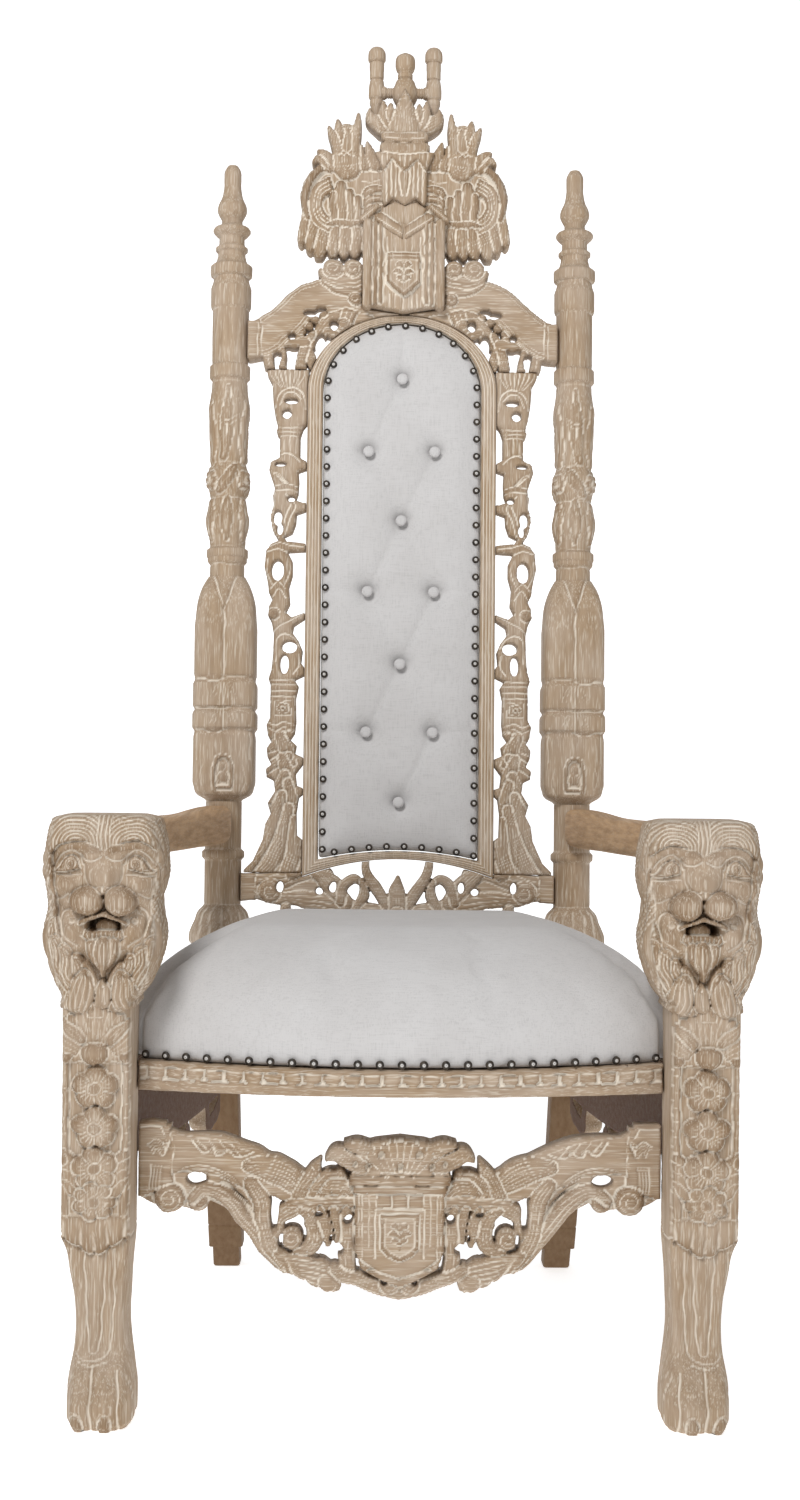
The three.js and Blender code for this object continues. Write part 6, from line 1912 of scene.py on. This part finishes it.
def flap_face(step):
    """The broken pediment over the box: two sloping bars, the roof behind them and a folded strip at each side."""
    f = Face(-70, 70, 1532, 1602, step)
    f.panel([(-60, 1556), (-60, 1563), (-36, 1584), (36, 1584), (60, 1563), (60, 1556)], 1, 0, 2)
    f.panel([(-34, 1584), (-14, 1594), (2, 1589), (17, 1594), (34, 1584), (28, 1572), (6, 1556), (-6, 1560),
             (-34, 1572)], 2, 3.0, 3)
    for side in (-1, 1):
        f.panel(sided(side, (66, 1563), (66, 1570), (40, 1592), (33, 1586), (57, 1562)), 2.0, 6.0, 2.5)
        f.scratch(sided(side, (62, 1567), (37, 1588)), 1.0, 1.3)
        f.panel(sided(side, (44, 1564), (44, 1573), (34, 1577), (1, 1555), (1, 1536)), 2.0, 8.0, 2.0)
        f.scratch(sided(side, (40, 1568), (2, 1544)), 1.0, 1.6)
    return f


def helm_face(step):
    """The helm: a reeded panel with a pointed foot, under a collar that hangs in three points."""
    f = Face(-50, 50, 1584, 1700, step)
    f.panel([(-33, 1658), (-33, 1597), (-29, 1588), (-17, 1600), (0, 1588), (17, 1600), (29, 1588), (33, 1597),
             (33, 1658)], 2.5, 0, 3)
    for x in (-27, -20, -13, 13, 20, 27):
        f.scratch([(x, 1660), (x * 0.96, 1594)], 1.2, 2.0)
    for x in (-6, 6):
        f.scratch([(x * 0.7, 1654), (x * 1.3, 1628), (x * 0.6, 1602)], 1.6, 3.0)
    f.scratch([(0, 1654), (0, 1600)], 0.9, 1.4)
    f.panel([(-44, 1668), (-31, 1638), (-19, 1656), (0, 1637), (19, 1656), (31, 1638), (44, 1668)], 2.5, 4.0, 2.5)
    for x in (-34, -26, -16, -8, 0, 8, 16, 26, 34):
        f.scratch([(x, 1668), (x * 0.93, 1652 - 8 * (abs(x) in (0, 26, 34)))], 1.0, 1.6, False)
    f.carve([(-29, 1674, 8), (0, 1671, 9), (29, 1674, 8)], 4.5, 3.0, cut=2.2)
    f.carve([(-27, 1691, 8), (0, 1689, 8.5), (27, 1691, 8)], 4.0, 2.4, (-0.45, 0.55), cut=2.2)
    f.high += 13 * np.sqrt(np.clip(1 - (f.X / 50) ** 2, 0, 1))
    return f


def crown_face(step):
    """Leaves over the crown's band: a tall one in the middle, then two tips and a broad curl on each side."""
    f = Face(-60, 60, 1690, 1764, step)
    f.comb([(16, 1702, 12), (34, 1710, 13), (47, 1718, 10), (51, 1727, 5), (50, 1733, 2)], 5, 1, 4.2, cut=0.8)
    f.comb([(14, 1704, 13), (25, 1718, 12), (31, 1731, 7), (32, 1743, 3)], 5, 2, 4.2, cut=0.8)
    f.comb([(8, 1702, 13), (17, 1720, 10), (21, 1730, 6), (21, 1738, 3)], 5, 3, 4.2, cut=0.8)
    f.mirror()
    f.comb([(0, 1700, 24), (0, 1720, 18), (0, 1741, 11), (0, 1760, 2)], 7, 3, 4.6)
    f.high += 9 * np.sqrt(np.clip(1 - (f.X / 60) ** 2, 0, 1))
    return f


# ---- Upholstery ----

BUTTONS = [(0, 1334), (-48, 1227), (48, 1227), (0, 1126), (-48, 1022), (48, 1022), (0, 917), (-48, 818), (48, 818),
           (0, 717)]
PAD_FACE = 150.0  # where the pad meets the frame
PAD_CROWN = 18.0
CLOTH_FRAMES = 20
SEAT_MIDDLE, SEAT_EDGE, SEAT_CROWN = -95.0, 436.0, 572.0
SEAT_FLOOR, SEAT_HELD = 414.5, 432.0  # lowest cloth; up to here the cushion keeps its form
SEAT_NAIL_Z = 421.5


def inflated(piece, pinned, pressure, cap):
    """Blows a closed piece up as cloth, moves no point further than the cap, and keeps the result."""
    scene = bpy.context.scene
    piece.vertex_groups.new(name="held").add([int(i) for i in np.nonzero(pinned)[0]], 1.0, "REPLACE")
    before = points_of(piece)
    cloth = piece.modifiers.new("cloth", "CLOTH")
    s = cloth.settings
    s.use_pressure, s.uniform_pressure_force = True, pressure
    s.vertex_group_mass, s.pin_stiffness = "held", 1.0
    s.quality, s.mass = 5, 0.3
    s.tension_stiffness = s.compression_stiffness = 15
    s.bending_stiffness = 0.5
    s.effector_weights.gravity = 0
    cloth.point_cache.frame_start, cloth.point_cache.frame_end = 1, CLOTH_FRAMES
    for number in range(1, CLOTH_FRAMES + 1):
        scene.frame_set(number)
    ready = piece.evaluated_get(bpy.context.evaluated_depsgraph_get())
    after = np.empty(len(before) * 3)
    ready.data.vertices.foreach_get("co", after)
    move = after.reshape(-1, 3) - before
    far = np.linalg.norm(move, axis=1, keepdims=True)
    move *= np.minimum(1, cap * MM / np.maximum(far, 1e-9))
    piece.modifiers.remove(cloth)
    piece.vertex_groups.clear()
    scene.frame_set(1)
    return before + move


def points_of(piece):
    """The points of a piece, in metres."""
    co = np.empty(len(piece.data.vertices) * 3)
    piece.data.vertices.foreach_get("co", co)
    return co.reshape(-1, 3)


def set_points(piece, points):
    """Moves the points of a piece, given in metres."""
    piece.data.vertices.foreach_set("co", points.astype(np.float32).ravel())
    piece.data.update()


def applied(piece, kind, **settings):
    """Adds a modifier and applies it."""
    modifier = piece.modifiers.new("step", kind)
    for key, value in settings.items():
        setattr(modifier, key, value)
    with bpy.context.temp_override(object=piece, active_object=piece, selected_objects=[piece]):
        bpy.ops.object.modifier_apply(modifier=modifier.name)


def finished_cloth(piece, points):
    set_points(piece, points)
    applied(piece, "SUBSURF", levels=1, render_levels=1)
    piece.data.polygons.foreach_set("use_smooth", np.ones(len(piece.data.polygons), bool))
    piece.data.update()


def seat_way(count=240):
    """The cushion's plan: bowed in front, stepped in behind the heads, narrower towards the back."""
    inner, step_y = LEG_X - 41.5, LEG_HIGH[1] + 2
    x = np.linspace(-inner, inner, 60)
    front = np.column_stack([x, -281 - BOW * (1 - (x / inner) ** 2)])
    right = np.array([(inner, step_y), (344, step_y + 2), (322, -70), (286, 122), (272, 134)])
    left = (right * (-1, 1))[::-1]
    ring = np.vstack([front, right, left])
    ring = np.vstack([ring, ring[:1]])
    run = walked(ring)
    return np.column_stack(places_on(ring, run, np.linspace(0, run[-1], count, endpoint=False)))


class THRONE_OT_cushion(bpy.types.Operator):
    """Stuffs the domed seat: a rounded form inflated as cloth, tight over its edge"""

    bl_idname = "throne.cushion"
    bl_label = "Seat cushion"

    def execute(self, context):
        s = context.scene.throne
        plan = seat_way()
        middle = np.array([0.0, SEAT_MIDDLE])
        rings = []
        # share of the plan and height, first round the lower edge and then over the dome
        for scale, z in ((0.96, 415), (0.99, 418), (0.995, 424), (0.99, 432)):
            rings.append(np.column_stack([middle + (plan - middle) * scale, np.full(len(plan), z)]))
        for scale in (0.985, 0.965, 0.935, 0.89, 0.82, 0.72, 0.6, 0.45, 0.28, 0.1):
            rise = SEAT_EDGE + (SEAT_CROWN - SEAT_EDGE) * (1 - scale**4.8) ** 0.5
            rings.append(np.column_stack([middle + (plan - middle) * scale, np.full(len(plan), rise)]))
        piece = build("domed_seat", skin(np.array(rings)), finishes()["linen_cloth"], ["seat_cushion"])
        applied(piece, "REMESH", mode="VOXEL", voxel_size=s.seat_voxel, use_smooth_shade=True)
        start = points_of(piece)
        held = start[:, 2] < SEAT_HELD * MM
        moved = inflated(piece, held, 4.0, 24)
        moved[:, 2] = np.minimum(moved[:, 2], (SEAT_CROWN + 3) * MM)
        moved[:, 2] = np.maximum(moved[:, 2], SEAT_FLOOR * MM)
        finished_cloth(piece, moved)
        return {"FINISHED"}


def pad_relief(x, z):
    """Depths of the tufting at places of the back, towards the frame: a pit at each button, creases between them."""
    s = bpy.context.scene.throne
    deep = s.tuft_depth / MM
    out = np.zeros(x.shape)
    for bx, bz in BUTTONS:
        r = np.hypot(x - bx, (z - bz) * 0.95)
        out += deep * (0.62 * np.exp(-((r / 15) ** 2)) + 0.38 * np.exp(-(r / 34)))
    creases = []
    for (ax, az) in BUTTONS:
        for (bx, bz) in BUTTONS:
            if ax > bx and 90 < az - bz < 120:
                creases.append(((ax, az), (bx, bz), 3.2))
            if ax < bx and 90 < az - bz < 120:
                creases.append(((ax, az), (bx, bz), 1.1))
    creases.append(((0, 1334), (0, 1400), 2.2))
    for bx, bz in BUTTONS:
        if bx:
            creases.append(((bx, bz), (math.copysign(100, bx), bz + 3), 1.6))
    for (ax, az), (bx, bz), strong in creases:
        line = np.array([(ax, az, 0), (bx, bz, 0)], float)
        off = follow(line, x, z)[1]
        out += strong * np.exp(-np.abs(off) / 3.2)
    return out


class THRONE_OT_back_pad(bpy.types.Operator):
    """Stuffs the tufted back: an arched pad inflated as cloth, drawn in at its buttons and creases"""

    bl_idname = "throne.back_pad"
    bl_label = "Back pad"

    def execute(self, context):
        s = context.scene.throne
        f = Face(-118, 118, 630, 1424, 5.0)
        hem = ARCH["hem"][0] + 1, ARCH["hem"][1] + 1
        f.inside = arch_depth(ARCH["inner"] - 0.8, ARCH["cloth"] - 1, hem, f.X, f.Z)
        f.high = 12.5 * np.clip(1 - (1 - np.clip(f.inside / 34, 0, 1)) ** 2.4, 0, 1)
        piece = build("tufted_back", board(f, PAD_FACE, 175.5, 4), finishes()["linen_cloth"], ["back_pad"])
        applied(piece, "REMESH", mode="VOXEL", voxel_size=s.back_voxel, use_smooth_shade=True)
        start = points_of(piece) / MM
        x, y, z = start.T
        depth = pad_depth(x, z)
        held = (y > 146) | (depth < 9)
        for bx, bz in BUTTONS:
            held |= np.hypot(x - bx, z - bz) < 7
        moved = inflated(piece, held, 4.0, 22) / MM
        front = smooth(152, 146, moved[:, 1])
        moved[:, 1] = np.where(front > 0, np.maximum(moved[:, 1], PAD_FACE - PAD_CROWN - 2), moved[:, 1])
        set_points(piece, moved * MM)
        applied(piece, "SUBSURF", levels=1, render_levels=1)
        fine = points_of(piece) / MM
        front = smooth(152, 144, fine[:, 1])
        edge = smooth(2, 14, pad_depth(fine[:, 0], fine[:, 2]))
        fine[:, 1] += pad_relief(fine[:, 0], fine[:, 2]) * front * edge
        set_points(piece, reclined(fine) * MM)
        piece.data.polygons.foreach_set("use_smooth", np.ones(len(piece.data.polygons), bool))
        self.buttons(s)
        return {"FINISHED"}

    def buttons(self, s):
        """Covered buttons: flattened domes with a rolled edge, sunk in their pits."""
        r = s.button_radius / MM
        share = np.linspace(0, 1, 12)
        turn = np.arange(26) / 26 * TAU
        shapes = []
        for bx, bz in BUTTONS:
            radius = r * np.concatenate([[0.7, 0.95], np.cos(share[:-1] * math.pi / 2) ** 0.6, [0.05]])
            y = np.concatenate([[6, 3], -4.5 * np.sin(share[:-1] * math.pi / 2), [-4.5]]) + PAD_FACE - 9
            P = np.stack([bx + radius[:, None] * np.cos(turn), np.broadcast_to(y[:, None], (len(y), len(turn))),
                          bz + radius[:, None] * np.sin(turn)], -1)
            shapes.append(skin(P))
        names = [f"back_button_{k}" for k in range(1, 11)]
        build("tuft_buttons", together(shapes).leaned(), finishes()["linen_cloth"], names)


def nail_shapes(places, outward, radius):
    """Nailheads: low domes with a flat rim, each looking along its own direction."""
    rings = np.array([(1.0, 0.0), (1.06, 0.14), (0.94, 0.3), (0.66, 0.34), (0.52, 0.52), (0.26, 0.66)])
    turn = np.arange(12) / 12 * TAU
    shapes = []
    for place, out in zip(places, outward):
        out = out / np.linalg.norm(out)
        side = np.cross([0, 0, 1.0], out)
        side /= np.linalg.norm(side)
        up = np.cross(out, side)
        ring = np.cos(turn)[:, None] * side + np.sin(turn)[:, None] * up
        P = place + radius * (rings[:, :1, None] * ring[None] + rings[:, 1:, None] * out)
        # the lime tone marks each head's crown, where the bronze gets its painted highlight
        shapes.append(skin(P, lime=(rings[:, :1] < 0.3) * np.ones(len(turn))))
    return together(shapes)


class THRONE_OT_nails(bpy.types.Operator):
    """Drives the antique nails round the seat and the back"""

    bl_idname = "throne.nails"
    bl_label = "Nails"

    def execute(self, context):
        s = context.scene.throne
        radius, pitch = s.nail_radius / MM, s.nail_pitch / MM
        metal = finishes()["bronze_nail"]
        plan = seat_way(1200)
        front = plan[(np.abs(plan[:, 0]) < 315) & (plan[:, 1] < -270)]
        front = front[np.argsort(front[:, 0])]
        run = walked(front)
        at = (np.arange(25) - 12) * run[-1] / 24.5 + run[-1] / 2
        x, y = places_on(front, run, at)
        slope = np.gradient(y, x)
        out = np.column_stack([slope, -np.ones(len(x)), np.zeros(len(x))])
        places = np.column_stack([x, y, SEAT_NAIL_Z + 4.0 * (x / LEG_X) ** 2])
        places[:, :2] += out[:, :2] / np.linalg.norm(out, axis=1)[:, None] * 0.5
        build("seat_nails", nail_shapes(places, out, radius), metal, ())
        ring = arch_way(109.0, 1413, (641, 653.5), 400, 500, 200)
        ring = np.vstack([ring, ring[:1]])
        run = walked(ring)
        count = int(round(run[-1] / pitch))
        at = np.arange(count) * run[-1] / count
        x, z = places_on(ring, run, at)
        places = np.column_stack([x, np.full(count, PAD_FACE - 5.5), z])
        shape = nail_shapes(places, np.tile([0.0, -1.0, 0.0], (count, 1)), radius)
        build("back_nails", shape.leaned(), metal, ())
        return {"FINISHED"}


# ---- Panel and start ----

STEPS = [THRONE_OT_front_legs, THRONE_OT_rear_posts, THRONE_OT_arms, THRONE_OT_seat_rails, THRONE_OT_side_aprons,
         THRONE_OT_front_apron, THRONE_OT_back_boards, THRONE_OT_crest, THRONE_OT_cushion, THRONE_OT_back_pad,
         THRONE_OT_nails, THRONE_OT_stage]


class THRONE_PT_panel(bpy.types.Panel):
    """Settings and steps of the throne"""

    bl_label = "Throne"
    bl_space_type = "VIEW_3D"
    bl_region_type = "UI"
    bl_category = "Throne"

    def draw(self, context):
        column = self.layout.column()
        for name in ThroneSettings.__annotations__:
            column.prop(context.scene.throne, name)
        for step in STEPS:
            column.operator(step.bl_idname)


CLASSES = [ThroneSettings, *STEPS, THRONE_PT_panel]


def register():
    for item in CLASSES:
        bpy.utils.register_class(item)
    bpy.types.Scene.throne = bpy.props.PointerProperty(type=ThroneSettings)


def unregister():
    del bpy.types.Scene.throne
    for item in reversed(CLASSES):
        bpy.utils.unregister_class(item)


def main():
    register()
    for step in STEPS:
        area, name = step.bl_idname.split(".")
        getattr(getattr(bpy.ops, area), name)()


if __name__ == "__main__":
    main()
